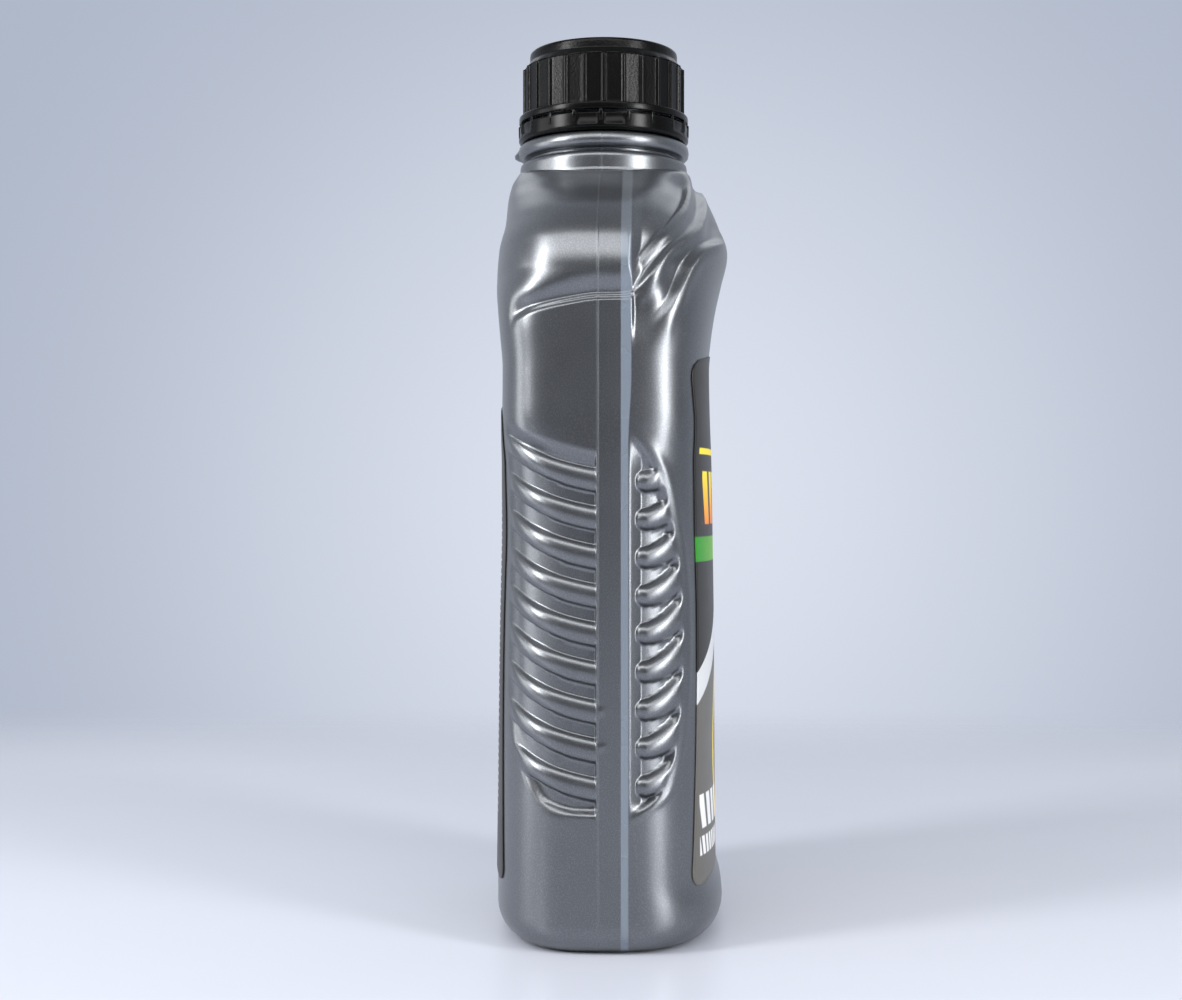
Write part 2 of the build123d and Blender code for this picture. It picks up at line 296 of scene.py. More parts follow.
class Value:
    """One number output of a node, with arithmetic that adds Math nodes."""

    def __init__(self, shader: "Shader", socket: bpy.types.NodeSocket) -> None:
        """Wrap a socket of a shader's node."""
        self.shader = shader
        self.socket = socket

    def math(self, operation: str, *others: object, swapped: bool = False) -> "Value":
        """Add a Math node.

        Args:
            operation: The Math node's operation.
            others: Further operands, as values or numbers.
            swapped: True if this value is the second operand.

        Returns:
            The node's result.
        """
        operands = [self, *others]
        if swapped:
            operands.reverse()
        inputs = dict(enumerate(operands))
        return self.shader.node("ShaderNodeMath", {"operation": operation}, inputs)

    def __add__(self, other: object) -> "Value":
        """Sum."""
        return self.math("ADD", other)

    def __radd__(self, other: object) -> "Value":
        """Sum, from the right."""
        return self.math("ADD", other)

    def __sub__(self, other: object) -> "Value":
        """Difference."""
        return self.math("SUBTRACT", other)

    def __rsub__(self, other: object) -> "Value":
        """Difference, from the right."""
        return self.math("SUBTRACT", other, swapped=True)

    def __mul__(self, other: object) -> "Value":
        """Product."""
        return self.math("MULTIPLY", other)

    def __rmul__(self, other: object) -> "Value":
        """Product, from the right."""
        return self.math("MULTIPLY", other)

    def __truediv__(self, other: object) -> "Value":
        """Quotient."""
        return self.math("DIVIDE", other)

    def __rtruediv__(self, other: object) -> "Value":
        """Quotient, from the right."""
        return self.math("DIVIDE", other, swapped=True)

    def __abs__(self) -> "Value":
        """Size without its sign."""
        return self.math("ABSOLUTE")

    def largest(self, other: object) -> "Value":
        """The larger of two values."""
        return self.math("MAXIMUM", other)

    def above(self, edge: float, blur: float) -> "Value":
        """Smooth step from 0 to 1 over blur about an edge."""
        inputs = {"Value": self, "From Min": edge - blur / 2, "From Max": edge + blur / 2}
        return self.shader.node("ShaderNodeMapRange", {"interpolation_type": "SMOOTHSTEP"}, inputs)

    def within(self, low: float, high: float, blur: float) -> "Value":
        """1 between two edges and 0 outside them, with blurred edges."""
        return self.above(low, blur) * (1 - self.above(high, blur))


class Shader:
    """Node tree of one new material or world, built from expressions."""

    def __init__(self, owner: bpy.types.Material | bpy.types.World) -> None:
        """Empty the owner's node tree.

        Args:
            owner: The material or world that is built.
        """
        owner.use_nodes = True
        self.owner = owner
        self.tree = owner.node_tree
        self.tree.nodes.clear()

    @classmethod
    def material(cls, name: str) -> "Shader":
        """Start an empty material with the given name."""
        return cls(bpy.data.materials.new(name))

    def node(self, kind: str, settings: dict, inputs: dict, output: object = 0) -> Value:
        """Add a node.

        Args:
            kind: The node's type.
            settings: Properties that are set before its sockets.
            inputs: Numbers, colours or values for its sockets, by name or place.
            output: Which of its outputs is returned, by name or place.

        Returns:
            The chosen output.
        """
        made = self.tree.nodes.new(kind)
        for key, setting in settings.items():
            setattr(made, key, setting)
        for key, given in inputs.items():
            if isinstance(given, Value):
                self.tree.links.new(given.socket, made.inputs[key])
            else:
                made.inputs[key].default_value = given
        return Value(self, made.outputs[output])

    def place(self) -> tuple[Value, Value, Value, Value]:
        """Add nodes for the position on the object in millimetres.

        Returns:
            The position as one vector, then its X, Y and Z.
        """
        position = self.node("ShaderNodeTexCoord", {}, {}, "Object")
        scaled = self.node(
            "ShaderNodeVectorMath", {"operation": "SCALE"}, {0: position, "Scale": 1 / MM}
        )
        parts = self.node("ShaderNodeSeparateXYZ", {}, {0: scaled})
        outputs = parts.socket.node.outputs
        return scaled, Value(self, outputs[0]), Value(self, outputs[1]), Value(self, outputs[2])

    def noise(self, vector: Value, size: float, detail: float = 2.0) -> Value:
        """Noise of about the given grain size in millimetres, from 0 to 1."""
        inputs = {"Vector": vector, "Scale": 1 / size, "Detail": detail}
        return self.node("ShaderNodeTexNoise", {}, inputs)

    def blend(self, share: Value, low: object, high: object) -> Value:
        """Colour that goes from low to high as share goes from 0 to 1."""
        settings = {"data_type": "RGBA"}
        return self.node("ShaderNodeMix", settings, {0: share, 6: low, 7: high}, 2)

    def bump(self, height: Value, depth: float, strength: float = 1.0) -> Value:
        """Normal of a surface with a height in millimetres times depth."""
        inputs = {"Height": height, "Distance": depth * MM, "Strength": strength}
        return self.node("ShaderNodeBump", {}, inputs)

    def principled(self, inputs: dict) -> Value:
        """Add a Principled shader with these inputs."""
        return self.node("ShaderNodeBsdfPrincipled", {}, inputs)

    def end(
        self, surface: Value, kind: str = "ShaderNodeOutputMaterial"
    ) -> bpy.types.Material | bpy.types.World:
        """Link a surface shader to the output.

        Args:
            surface: The shader.
            kind: The output node's type.

        Returns:
            The finished material or world.
        """
        last = self.tree.nodes.new(kind)
        self.tree.links.new(surface.socket, last.inputs["Surface"])
        return self.owner

    def finish(self, inputs: dict) -> bpy.types.Material:
        """Close the material with a Principled shader that has these inputs."""
        return self.end(self.principled(inputs))


@dataclass(frozen=True)
class PearlPlastic:
    """Silver-grey pearl plastic of the blown body, with its clear view strip."""

    base: Colour = (0.150, 0.158, 0.169, 1.0)
    flake: Colour = (0.23, 0.242, 0.258, 1.0)
    flake_size: float = 0.35
    flake_cut: float = 0.56
    flake_share: float = 0.45
    cloud_size: float = 14.0
    cloud_share: float = 0.25
    fine_grain: float = 0.5
    coarse_grain: float = 2.2
    coarse_share: float = 1.4
    grain_depth: float = 0.018
    grain_strength: float = 0.5
    coat: float = 0.12
    coat_roughness: float = 0.25
    roughness: float = 0.3
    roughness_spread: float = 0.06
    metal: float = 0.9
    strip: Colour = (0.17, 0.2, 0.24, 1.0)
    strip_metal: float = 0.1
    strip_front: float = -8.7
    strip_back: float = -6.0
    strip_end: float = -20.0
    strip_blur: float = 0.3
    narrowing: float = 0.8
    narrow_top: float = 140.0
    fade_height: float = 184.0
    fade_length: float = 24.0
    fade_share: float = 0.6

    def view_strip(self, x: Value, y: Value, z: Value) -> Value:
        """Mask of the view strip, narrower on the grips and faded towards the neck.

        Args:
            x: Place along the bottle.
            y: Place from front to back.
            z: Height.

        Returns:
            1 on the strip and 0 beside it.
        """
        narrowed = y - (1 - z.above(self.narrow_top, 20.0)) * self.narrowing
        side = narrowed.above(AXIS_Y + self.strip_front, self.strip_blur)
        side = side * (1 - y.above(AXIS_Y + self.strip_back, self.strip_blur))
        strip = side * (1 - x.above(self.strip_end, 1.0)) * (1 - z.above(BODY_TOP, 1.0))
        return strip * (1 - z.above(self.fade_height, self.fade_length) * self.fade_share)

    def material(self) -> bpy.types.Material:
        """Make the material.

        Returns:
            The material.
        """
        shader = Shader.material("pearl plastic")
        vector, x, y, z = shader.place()
        flakes = shader.noise(vector, self.flake_size, 1.0).within(self.flake_cut, 1.0, 0.1)
        cloud = shader.noise(vector, self.cloud_size, 3.0)
        light = flakes * self.flake_share + cloud * self.cloud_share
        pearl = shader.blend(light, self.base, self.flake)
        strip = self.view_strip(x, y, z)
        coarse = shader.noise(vector, self.coarse_grain) * self.coarse_share
        grain = shader.noise(vector, self.fine_grain) + coarse
        return shader.finish(
            {
                "Base Color": shader.blend(strip, pearl, self.strip),
                "Metallic": self.metal - strip * (self.metal - self.strip_metal),
                "Roughness": self.roughness + (cloud - strip) * self.roughness_spread,
                "Normal": shader.bump(grain, self.grain_depth, self.grain_strength),
                "Coat Weight": self.coat,
                "Coat Roughness": self.coat_roughness,
            }
        )


@dataclass(frozen=True)
class MouldedPlastic:
    """Black closure plastic with a spark-eroded grain on its grip lands."""

    base: Colour = (0.002, 0.002, 0.002, 1.0)
    dust: Colour = (0.006, 0.006, 0.0055, 1.0)
    roughness: float = 0.2
    roughness_spread: float = 0.06
    wear_size: float = 6.0
    gloss: float = 0.14
    grain_bottom: float = 225.9
    grain_top: float = 243.2
    grain_size: float = 0.7
    grain_depth: float = 0.05
    smooth_share: float = 0.15

    def material(self) -> bpy.types.Material:
        """Make the material.

        Returns:
            The material.
        """
        shader = Shader.material("closure plastic")
        vector, _, _, z = shader.place()
        rough = z.within(self.grain_bottom, self.grain_top, 0.6)
        grain = shader.noise(vector, self.grain_size, 1.0)
        wear = shader.noise(vector, self.wear_size, 3.0)
        relief = grain * (self.smooth_share + rough * (1 - self.smooth_share))
        return shader.finish(
            {
                "Base Color": shader.blend(grain * wear, self.base, self.dust),
                "Roughness": self.roughness + (rough + wear) * self.roughness_spread,
                "Normal": shader.bump(relief, self.grain_depth),
                "Specular IOR Level": self.gloss,
            }
        )


@dataclass(frozen=True)
class LinerFoam:
    """Pale foamed sealing disc."""

    base: Colour = (0.72, 0.72, 0.68, 1.0)
    shade: Colour = (0.55, 0.55, 0.52, 1.0)
    cell_size: float = 0.6
    cell_depth: float = 0.05
    roughness: float = 0.8

    def material(self) -> bpy.types.Material:
        """Make the material.

        Returns:
            The material.
        """
        shader = Shader.material("liner foam")
        cells = shader.noise(shader.place()[0], self.cell_size, 3.0)
        return shader.finish(
            {
                "Base Color": shader.blend(cells, self.base, self.shade),
                "Roughness": self.roughness + cells * 0.1,
                "Normal": shader.bump(cells, self.cell_depth, 0.6),
            }
        )


@dataclass(frozen=True)
class EngineOil:
    """Amber oil, seen only down the open neck."""

    base: Colour = (0.42, 0.19, 0.02, 1.0)
    deep: Colour = (0.25, 0.09, 0.01, 1.0)
    cloud_size: float = 18.0
    roughness: float = 0.05
    coat: float = 0.5

    def material(self) -> bpy.types.Material:
        """Make the material.

        Returns:
            The material.
        """
        shader = Shader.material("engine oil")
        cloud = shader.noise(shader.place()[0], self.cloud_size)
        return shader.finish(
            {
                "Base Color": shader.blend(cloud, self.base, self.deep),
                "Roughness": self.roughness + cloud * 0.03,
                "Coat Weight": self.coat,
            }
        )


class LabelSide(Enum):
    """Which wide face a label is on; the value is the face's direction along Y."""

    FRONT = -1
    BACK = 1


@dataclass(frozen=True)
class Patch:
    """Rectangle of one colour on a label, from the bottle's middle and its standing plane."""

    left: float
    right: float
    low: float
    high: float
    tone: Colour

    def mask(self, x: Value, z: Value, edge: float) -> Value:
        """1 inside the rectangle and 0 outside it."""
        return x.within(self.left, self.right, edge) * z.within(self.low, self.high, edge)


@dataclass(frozen=True)
class PrintedFilm:
    """Satin printed film with plain fields of colour."""

    night: Colour = (0.022, 0.021, 0.020, 1.0)
    slate: Colour = (0.12, 0.115, 0.105, 1.0)
    silver: Colour = (0.62, 0.63, 0.64, 1.0)
    leaf: Colour = (0.03, 0.25, 0.02, 1.0)
    lime: Colour = (0.25, 0.55, 0.02, 1.0)
    amber: Colour = (0.85, 0.22, 0.01, 1.0)
    yolk: Colour = (0.9, 0.72, 0.02, 1.0)
    ember: Colour = (0.16, 0.02, 0.012, 1.0)
    chalk: Colour = (0.8, 0.8, 0.8, 1.0)
    edge: float = 0.4
    gloss: float = 0.3
    roughness: float = 0.34
    wear_size: float = 9.0
    wear_depth: float = 0.05
    stripe_peak: float = 96.0
    stripe_slope: float = 0.58
    stripe_width: float = 8.3
    disc_middle: Span = (2.0, 50.0)
    disc_radius: float = 28.0
    disc_rim: float = 3.0
    bar_slant: float = 0.25
    bar_pitch: float = 0.6
    bar_start: float = 0.12
    bar_stop: float = 0.78
    # The next rows are a low edge, a high edge and a half width.
    ribbon: tuple[float, float, float] = (100.7, 107.2, 43.0)
    title: tuple[float, float, float] = (110.5, 124.5, 38.0)
    back_lines: tuple[float, float, float] = (32.0, 118.0, 28.0)
    lit_half: float = 40.0
    small_rows: tuple[Span, ...] = ((30.5, 39.5), (23.5, 28.5))
    small_span: Span = (-41.0, -19.0)
    back_pitch: float = 2.0
    back_ink: float = 0.5
    head_line: Patch = Patch(-41.0, -18.0, 129.0, 130.6, yolk)

    def bars(self, x: Value, z: Value, low: float, high: float) -> Value:
        """Row of slanted bars between two heights, whose pitch goes with their height.

        Args:
            x: Place across the label.
            z: Height.
            low: Bottom of the row.
            high: Top of the row.

        Returns:
            1 in the bars and 0 between them.
        """
        turn = ((x + z * self.bar_slant) / (self.bar_pitch * (high - low))).math("FRACT")
        return turn.within(self.bar_start, self.bar_stop, 0.08) * z.within(low, high, self.edge)

    def ground(self, shader: Shader, x: Value, z: Value) -> Value:
        """Dark field over a lighter one, parted by a silver stripe that peaks in the middle.

        Args:
            shader: The material being built.
            x: Place across the label.
            z: Height.

        Returns:
            The colour at that place.
        """
        level = z - self.stripe_peak + abs(x) * self.stripe_slope
        colour = shader.blend(level.above(0.0, self.edge), self.slate, self.night)
        return shader.blend(level.within(-self.stripe_width, 0.0, self.edge), colour, self.silver)

    def front(self, shader: Shader, x: Value, z: Value) -> Value:
        """Colours of the front label.

        Args:
            shader: The material being built.
            x: Place across the label.
            z: Height.

        Returns:
            The colour at that place.
        """
        edge, reach = self.edge, abs(x)
        colour = self.ground(shader, x, z)
        across, up = x - self.disc_middle[0], z - self.disc_middle[1]
        disc = (across * across + up * up).math("SQRT")
        colour = shader.blend(1 - disc.above(self.disc_radius, edge), colour, self.yolk)
        inner = self.disc_radius - self.disc_rim
        colour = shader.blend(1 - disc.above(inner, edge), colour, self.ember)
        low, high, wide = self.ribbon
        lit = shader.blend(1 - reach / self.lit_half, self.leaf, self.lime)
        ribbon = z.within(low, high, edge) * (1 - reach.above(wide, edge))
        colour = shader.blend(ribbon, colour, lit)
        low, high, wide = self.title
        warm = shader.blend((z - low) / (high - low), self.amber, self.yolk)
        title = self.bars(x, z, low, high) * (1 - reach.above(wide, edge))
        colour = shader.blend(title, colour, warm)
        colour = shader.blend(self.head_line.mask(x, z, edge), colour, self.head_line.tone)
        upper, lower = (self.bars(x, z, *row) for row in self.small_rows)
        rows = upper.largest(lower) * x.within(*self.small_span, edge)
        return shader.blend(rows, colour, self.chalk)

    def back(self, shader: Shader, x: Value, z: Value) -> Value:
        """Colours of the back label, a dark field of fine lines.

        Args:
            shader: The material being built.
            x: Place across the label.
            z: Height.

        Returns:
            The colour at that place.
        """
        low, high, wide = self.back_lines
        lines = (z / self.back_pitch).math("FRACT").within(0.2, 0.5, 0.1)
        inside = z.within(low, high, self.edge) * (1 - abs(x).above(wide, self.edge))
        return shader.blend(lines * inside * self.back_ink, self.night, self.chalk)

    def material(self, side: LabelSide) -> bpy.types.Material:
        """Make the material of one label.

        Args:
            side: Which label it is.

        Returns:
            The material.
        """
        shader = Shader.material(f"{side.name.lower()} label film")
        vector, x, _, z = shader.place()
        paint = self.front if side is LabelSide.FRONT else self.back
        wear = shader.noise(vector, self.wear_size, 3.0)
        return shader.finish(
            {
                "Base Color": paint(shader, x, z),
                "Roughness": self.roughness + wear * 0.1,
                "Normal": shader.bump(wear, self.wear_depth, 0.5),
                "Specular IOR Level": self.gloss,
            }
        )


# --- The blown bottle --------------------------------------------------------------------------


@dataclass
class BodyShape:
    """Smooth outer form of the blown body, without its raised and sunk details."""

    half_length: float = 55.0
    foot_rounding: float = 8.0
    foot_front: float = 33.4
    foot_back: float = 28.9
    shoulder_front: float = 35.0
    shoulder_back: float = 29.4
    shoulder_height: float = 185.0
    shoulder_inset: float = 2.9
    squareness: float = 3.0
    waist_squareness: float = 3.7
    back_sharpening: float = 1.6
    quadrant_samples: int = 240

    def levels(self) -> list[tuple[float, float, float, float, float]]:
        """Outline of the body at its levels above the foot.

        Returns:
            Height, half length, front depth, back depth and squareness of each level.
        """
        end, power = self.half_length, self.squareness
        front, back = self.foot_front, self.foot_back
        climb = BODY_TOP - self.shoulder_height
        rows = [
            (self.foot_rounding, end, front, back, power),
            (10.8, end, front - 0.2, back, power),
            (17.5, end, front - 2.0, back, power),
            (27.0, end, front - 2.1, back - 0.1, power),
            (41.0, end, front - 2.3, back - 0.3, power),
            (60.0, end, front - 2.4, back - 0.5, power),
            (82.0, end, front - 2.5, back - 0.8, power),
            (104.0, end, front - 2.8, back - 1.3, power),
            (126.0, end - 0.1, front - 3.2, back - 1.7, power + 0.2),
            (140.0, end - 0.3, front - 3.8, back - 2.2, self.waist_squareness),
            (152.0, end - 0.4, front - 4.0, back - 2.3, self.waist_squareness),
            (160.0, end - 0.4, front - 3.3, back - 1.7, self.waist_squareness),
            (168.0, end - 0.4, front - 2.1, back - 0.8, self.waist_squareness - 0.2),
            (177.0, end - 0.7, self.shoulder_front - 1.7, self.shoulder_back - 0.2, power),
        ]
        widest = end - self.shoulder_inset
        behind = self.shoulder_back - 0.6
        rows.append((self.shoulder_height, widest, self.shoulder_front, behind, power - 0.1))
        reach = widest - NECK_RADIUS
        ahead = self.shoulder_front - NECK_RADIUS
        behind = self.shoulder_back - NECK_RADIUS
        for share, ends, fronts, backs, power in (
            (0.37, 0.78, 0.78, 0.62, 2.7),
            (0.65, 0.47, 0.54, 0.54, 2.4),
            (0.84, 0.21, 0.31, 0.38, 2.1),
            (1.0, 0.0, 0.0, 0.0, 2.0),
        ):
            sizes = np.array([ends * reach, fronts * ahead, backs * behind]) + NECK_RADIUS
            rows.append((self.shoulder_height + share * climb, *sizes, power))
        return rows

    def at(self, heights: np.ndarray, grow: float = 0.0) -> np.ndarray:
        """Half length, front depth, back depth and squareness at each height.

        Args:
            heights: Heights at or above the end of the foot's rounding.
            grow: How far the face is moved out.

        Returns:
            Heights by 4 numbers.
        """
        rows = np.array(self.levels())
        columns = [smooth_curve(heights, rows[:, [0, index]]) for index in (1, 2, 3, 4)]
        found = np.stack(columns, axis=1)
        found[:, :3] += grow
        return found

    def foot(self, steps: int, grow: float = 0.0) -> tuple[np.ndarray, np.ndarray]:
        """Heights and sizes of the rounded foot, from the standing plane up.

        Args:
            steps: Number of rows in the rounding.
            grow: How far the face is moved out.

        Returns:
            Heights, and heights by 4 numbers as at gives.
        """
        turn = np.radians(np.linspace(0.0, 90.0, steps, endpoint=False))
        radius = self.foot_rounding + grow
        inset = self.foot_rounding - radius * np.sin(turn)
        heights = self.foot_rounding - radius * np.cos(turn)
        sizes = [size - inset for size in (self.half_length, self.foot_front, self.foot_back)]
        return heights, np.stack([*sizes, np.full(steps, self.squareness)], axis=1)

    def corner_power(self, squareness: np.ndarray, front: bool) -> np.ndarray:
        """Squareness of one side's corners, which are tighter at the back of the waist."""
        extra = 0.0 if front else self.back_sharpening
        return squareness + extra * np.maximum(squareness - self.squareness, 0.0)

    def quadrant(self, size: np.ndarray, front: bool, shares: np.ndarray) -> np.ndarray:
        """Points along a quarter of one level outline, from the narrow end to the wide face.

        Args:
            size: The level's half length, depths and squareness.
            front: True for the front quarter.
            shares: Shares of the quarter's length at which the points lie.

        Returns:
            Points by X, Y without its sign, and distance from the narrow end's middle.
        """
        turn = np.linspace(0.0, math.pi / 2, self.quadrant_samples)
        depth = size[1] if front else size[2]
        power = self.corner_power(size[3], front)
        x = size[0] * np.cos(turn) ** (2 / power)
        y = depth * np.sin(turn) ** (2 / power)
        run = np.concatenate([[0.0], np.cumsum(np.hypot(np.diff(x), np.diff(y)))])
        place = shares * run[-1]
        return np.stack([np.interp(place, run, x), np.interp(place, run, y), place], axis=1)

    def grid(
        self, heights: np.ndarray, sizes: np.ndarray, front: np.ndarray, back: np.ndarray
    ) -> tuple[np.ndarray, np.ndarray]:
        """Points of the level outlines, anticlockwise from the -X end, front first.

        Args:
            heights: Height of each row.
            sizes: Half length, depths and squareness of each row.
            front: Shares of a front quarter where its columns lie.
            back: Shares of a back quarter where its columns lie.

        Returns:
            The points, and each point's distance from the parting line at its own end,
            positive towards the front.
        """
        points, across = [], []
        quarters = ((True, -1, -1), (True, 1, -1), (False, 1, 1), (False, -1, 1))
        for height, size in zip(heights, sizes):
            row: list[np.ndarray] = []
            for forward, sign_x, sign_y in quarters:
                shares = front if forward else back
                if sign_x != sign_y:
                    shares = np.concatenate([[1.0], shares[:0:-1]])
                found = self.quadrant(size, forward, shares)
                x, y, run = found[:, 0] * sign_x, found[:, 1] * sign_y, found[:, 2]
                place = np.full(len(x), height)
                row.append(np.stack([x, AXIS_Y + y, place, -sign_y * run], axis=1))
            whole = np.concatenate(row)
            points.append(whole[:, :3])
            across.append(whole[:, 3])
        return np.array(points), np.array(across)


def sheared(
    grid: np.ndarray, across: np.ndarray, heights: np.ndarray, wanted: np.ndarray
) -> tuple[np.ndarray, np.ndarray]:
    """Slide a grid's points up or down the surface, column by column.

    Args:
        grid: Rows by columns by 3 coordinates, each row level.
        across: A number for each point.
        heights: Height of each row.
        wanted: Height wanted for each point, rising in every column.

    Returns:
        The grid with its points at the wanted heights, and the numbers there.
    """
    moved = np.stack([wanted] * 3, axis=2)
    number = np.empty_like(wanted)
    for column in range(grid.shape[1]):
        place = wanted[:, column]
        for axis in (0, 1):
            moved[:, column, axis] = np.interp(place, heights, grid[:, column, axis])
        number[:, column] = np.interp(place, heights, across[:, column])
    return moved, number


@dataclass
class Fold:
    """A sharp-edged fold: the face sinks gently towards a line and steps up beyond it."""

    line: list[Span]
    depth: float
    reach: float
    start: Span
    stop: Span
    edge: float = 2.2
    terrace: float = 0.0
    rim: float = 0.5

    def relief(self, across: np.ndarray, height: np.ndarray) -> np.ndarray:
        """Height of the fold's relief, negative inwards.

        Args:
            across: Distance from the parting line.
            height: Height on the bottle.

        Returns:
            The relief in millimetres.
        """
        line = smooth_curve(across, self.line)
        slope = smooth_curve(across + 1.0, self.line) - line
        past = (line - height) / np.sqrt(1.0 + slope**2)
        sink = hump(np.minimum(past, 0.0), 0.0, self.reach)
        step = 1.0 - ramp(past, 0.0, self.edge)
        if self.terrace > 0:
            tread = self.edge + self.terrace
            step = (step + 1.0 - ramp(past, tread, tread + self.edge)) / 2
        rim = self.rim * hump(past, 1.6 * self.edge, self.edge)
        return (rim - self.depth * sink * step) * plateau(across, self.start, self.stop)


def shoulder_folds() -> list[Fold]:
    """Lines and depths of the creases on the shoulder.

    Returns:
        The ledge over the grips, then the three folds of the front from the neck down.
    """
    ledge = [(-26.0, 162.0), (-22.0, 165.3), (-17.5, 166.9), (-8.0, 168.9)]
    ledge += [(0.0, 170.0), (6.0, 170.1), (8.0, 170.3), (10.0, 171.0)]
    upper = [(7.5, 175.0), (11.1, 181.5), (16.1, 187.8), (22.5, 195.5), (27.0, 201.0)]
    middle = [(7.5, 170.3), (12.4, 176.0), (16.1, 180.2), (20.0, 184.2)]
    middle += [(26.5, 189.3), (33.0, 193.4), (38.0, 197.5), (46.0, 203.5)]
    lower = [(13.0, 162.5), (18.0, 168.5), (21.0, 173.0), (26.5, 180.1)]
    lower += [(32.0, 184.4), (42.0, 187.6), (56.0, 190.0)]
    return [
        Fold(
            ledge, depth=1.6, reach=3.4, start=(-26.0, -20.0), stop=(8.0, 10.5),
            edge=0.6, terrace=0.7, rim=0.0,
        ),
        Fold(upper, depth=2.5, reach=6.5, start=(7.6, 12.0), stop=(26.0, 38.0)),
        Fold(middle, depth=2.7, reach=9.0, start=(7.6, 12.0), stop=(38.0, 52.0)),
        Fold(lower, depth=2.6, reach=10.0, start=(12.5, 24.0), stop=(40.0, 56.0)),
    ]


@dataclass
class BackPanel:
    """Sunk panel of grip ribs behind the parting line."""

    rib_count: int = 9
    pitch: float = 9.9
    first_edge: float = 45.8
    bottom: float = 36.2
    depth: float = 1.8
    step: Span = (0.1, 0.7)
    far_slope: Span = (24.5, 30.5)
    top_slope: float = 4.5
    fade: float = 0.5
    fade_span: Span = (15.0, 28.0)
    lip_start: float = 12.0
    lip_rise: float = 0.5
    lip_power: float = 1.3
    lip_width: float = 1.6
    rib_height: float = 6.3
    rib_taper: float = 0.07
    taper_start: float = 8.0
    rib_fullness: float = 0.5
    rib_proud: float = 0.35
    proud_start: Span = (6.0, 18.0)
    proud_stop: Span = (25.0, 31.0)
    climb: Span = (0.17, 0.0055)

    def rise(self, run: np.ndarray) -> np.ndarray:
        """How far the ribs climb over a run from the parting line, backwards."""
        return climbed(np.maximum(run, 0.0), self.climb)

    def relief(self, run: np.ndarray, height: np.ndarray) -> np.ndarray:
        """Relief of the panel and its ribs.

        Args:
            run: Distance behind the parting line.
            height: Height on the bottle.

        Returns:
            The relief in millimetres.
        """
        level = height - self.rise(run)
        turn = (level - self.first_edge) / self.pitch
        into_rib = (1.0 - (turn - np.floor(turn))) * self.pitch
        tall = self.rib_height - self.rib_taper * np.maximum(run - self.taper_start, 0.0)
        share = np.clip(into_rib / tall, 0.0, 1.0)
        rib = (4.0 * share * (1.0 - share)) ** self.rib_fullness
        proud = self.rib_proud * plateau(run, self.proud_start, self.proud_stop)
        depth = self.depth * (1.0 - self.fade * ramp(run, *self.fade_span))
        aside = np.maximum(run - self.lip_start, 0.0)
        lip = self.bottom + self.lip_rise * aside**self.lip_power
        ledge = lip + self.lip_width + self.lip_rise * aside
        top = self.first_edge + (self.rib_count - 1) * self.pitch
        inside = plateau(run, self.step, self.far_slope) * ramp(height, lip, ledge)
        inside *= 1.0 - ramp(level, top, top + self.top_slope)
        return inside * (rib * (depth + proud) - depth)


@dataclass
class FrontPanel:
    """Sunk lens-shaped panel of beads in front of the view strip."""

    bead_count: int = 9
    pitch: float = 9.77
    first_bead: float = 43.5
    depth: float = 2.0
    start: float = 8.3
    wall_width: float = 3.4
    far_wall: float = 1.8
    deep_start: Span = (36.0, 41.0)
    deep_stop: Span = (122.0, 136.0)
    shallow_share: float = 0.35
    rim: float = 0.3
    rim_offset: float = 2.2
    rim_width: float = 1.6
    rim_span: Span = (40.0, 126.0)
    rim_blur: float = 8.0
    bead_start: float = 12.9
    bead_half: float = 2.8
    bead_spread: float = 0.11
    bead_fullness: float = 0.6
    bead_proud: float = 0.3
    climb: Span = (0.18, 0.021)
    outline: tuple[Span, ...] = (
        (34.5, 6.0), (36.5, 9.5), (42.4, 17.5), (59.3, 22.8), (79.7, 24.6), (93.0, 24.0),
        (104.0, 22.2), (114.0, 19.6), (122.0, 16.9), (128.4, 13.3), (134.3, 8.6), (138.0, 6.0),
    )

    def rise(self, run: np.ndarray) -> np.ndarray:
        """How far the beads climb at a distance in front of the parting line."""
        return climbed(np.maximum(run - self.bead_start, 0.0), self.climb)

    def beads(self, run: np.ndarray, height: np.ndarray) -> np.ndarray:
        """Share of full height of the beads, which widen and climb towards the wide face.

        Args:
            run: Distance in front of the parting line.
            height: Height on the bottle.

        Returns:
            0 between the beads to 1 on their crests.
        """
        rise = self.rise(run)
        number = np.round((height - rise - self.first_bead) / self.pitch)
        centre = self.first_bead + np.clip(number, 0, self.bead_count - 1) * self.pitch + rise
        along = np.maximum(run - self.bead_start, 0.0)
        slope = self.climb[0] + 2 * self.climb[1] * along
        off = (height - centre) / np.sqrt(1.0 + slope**2)
        aside = np.maximum(self.bead_start - run, 0.0)
        radial = np.hypot(off, aside) / (self.bead_half + self.bead_spread * along)
        return np.clip(1.0 - radial**2, 0.0, 1.0) ** self.bead_fullness

    def relief(self, run: np.ndarray, height: np.ndarray) -> np.ndarray:
        """Relief of the panel and its beads.

        Args:
            run: Distance in front of the parting line.
            height: Height on the bottle.

        Returns:
            The relief in millimetres.
        """
        edge = smooth_curve(height, self.outline)
        inside = np.clip((run - self.start) / self.wall_width, 0.0, 1.0)
        inside *= 1.0 - ramp(run, edge - self.far_wall, edge)
        deep = plateau(height, self.deep_start, self.deep_stop)
        floor = self.depth * inside * (self.shallow_share + (1.0 - self.shallow_share) * deep)
        rim = self.rim * hump(run - edge, self.rim_offset, self.rim_width)
        rim *= between(height, *self.rim_span, self.rim_blur)
        bead = self.beads(run, height)
        return rim - floor * (1.0 - bead) + self.bead_proud * bead * inside


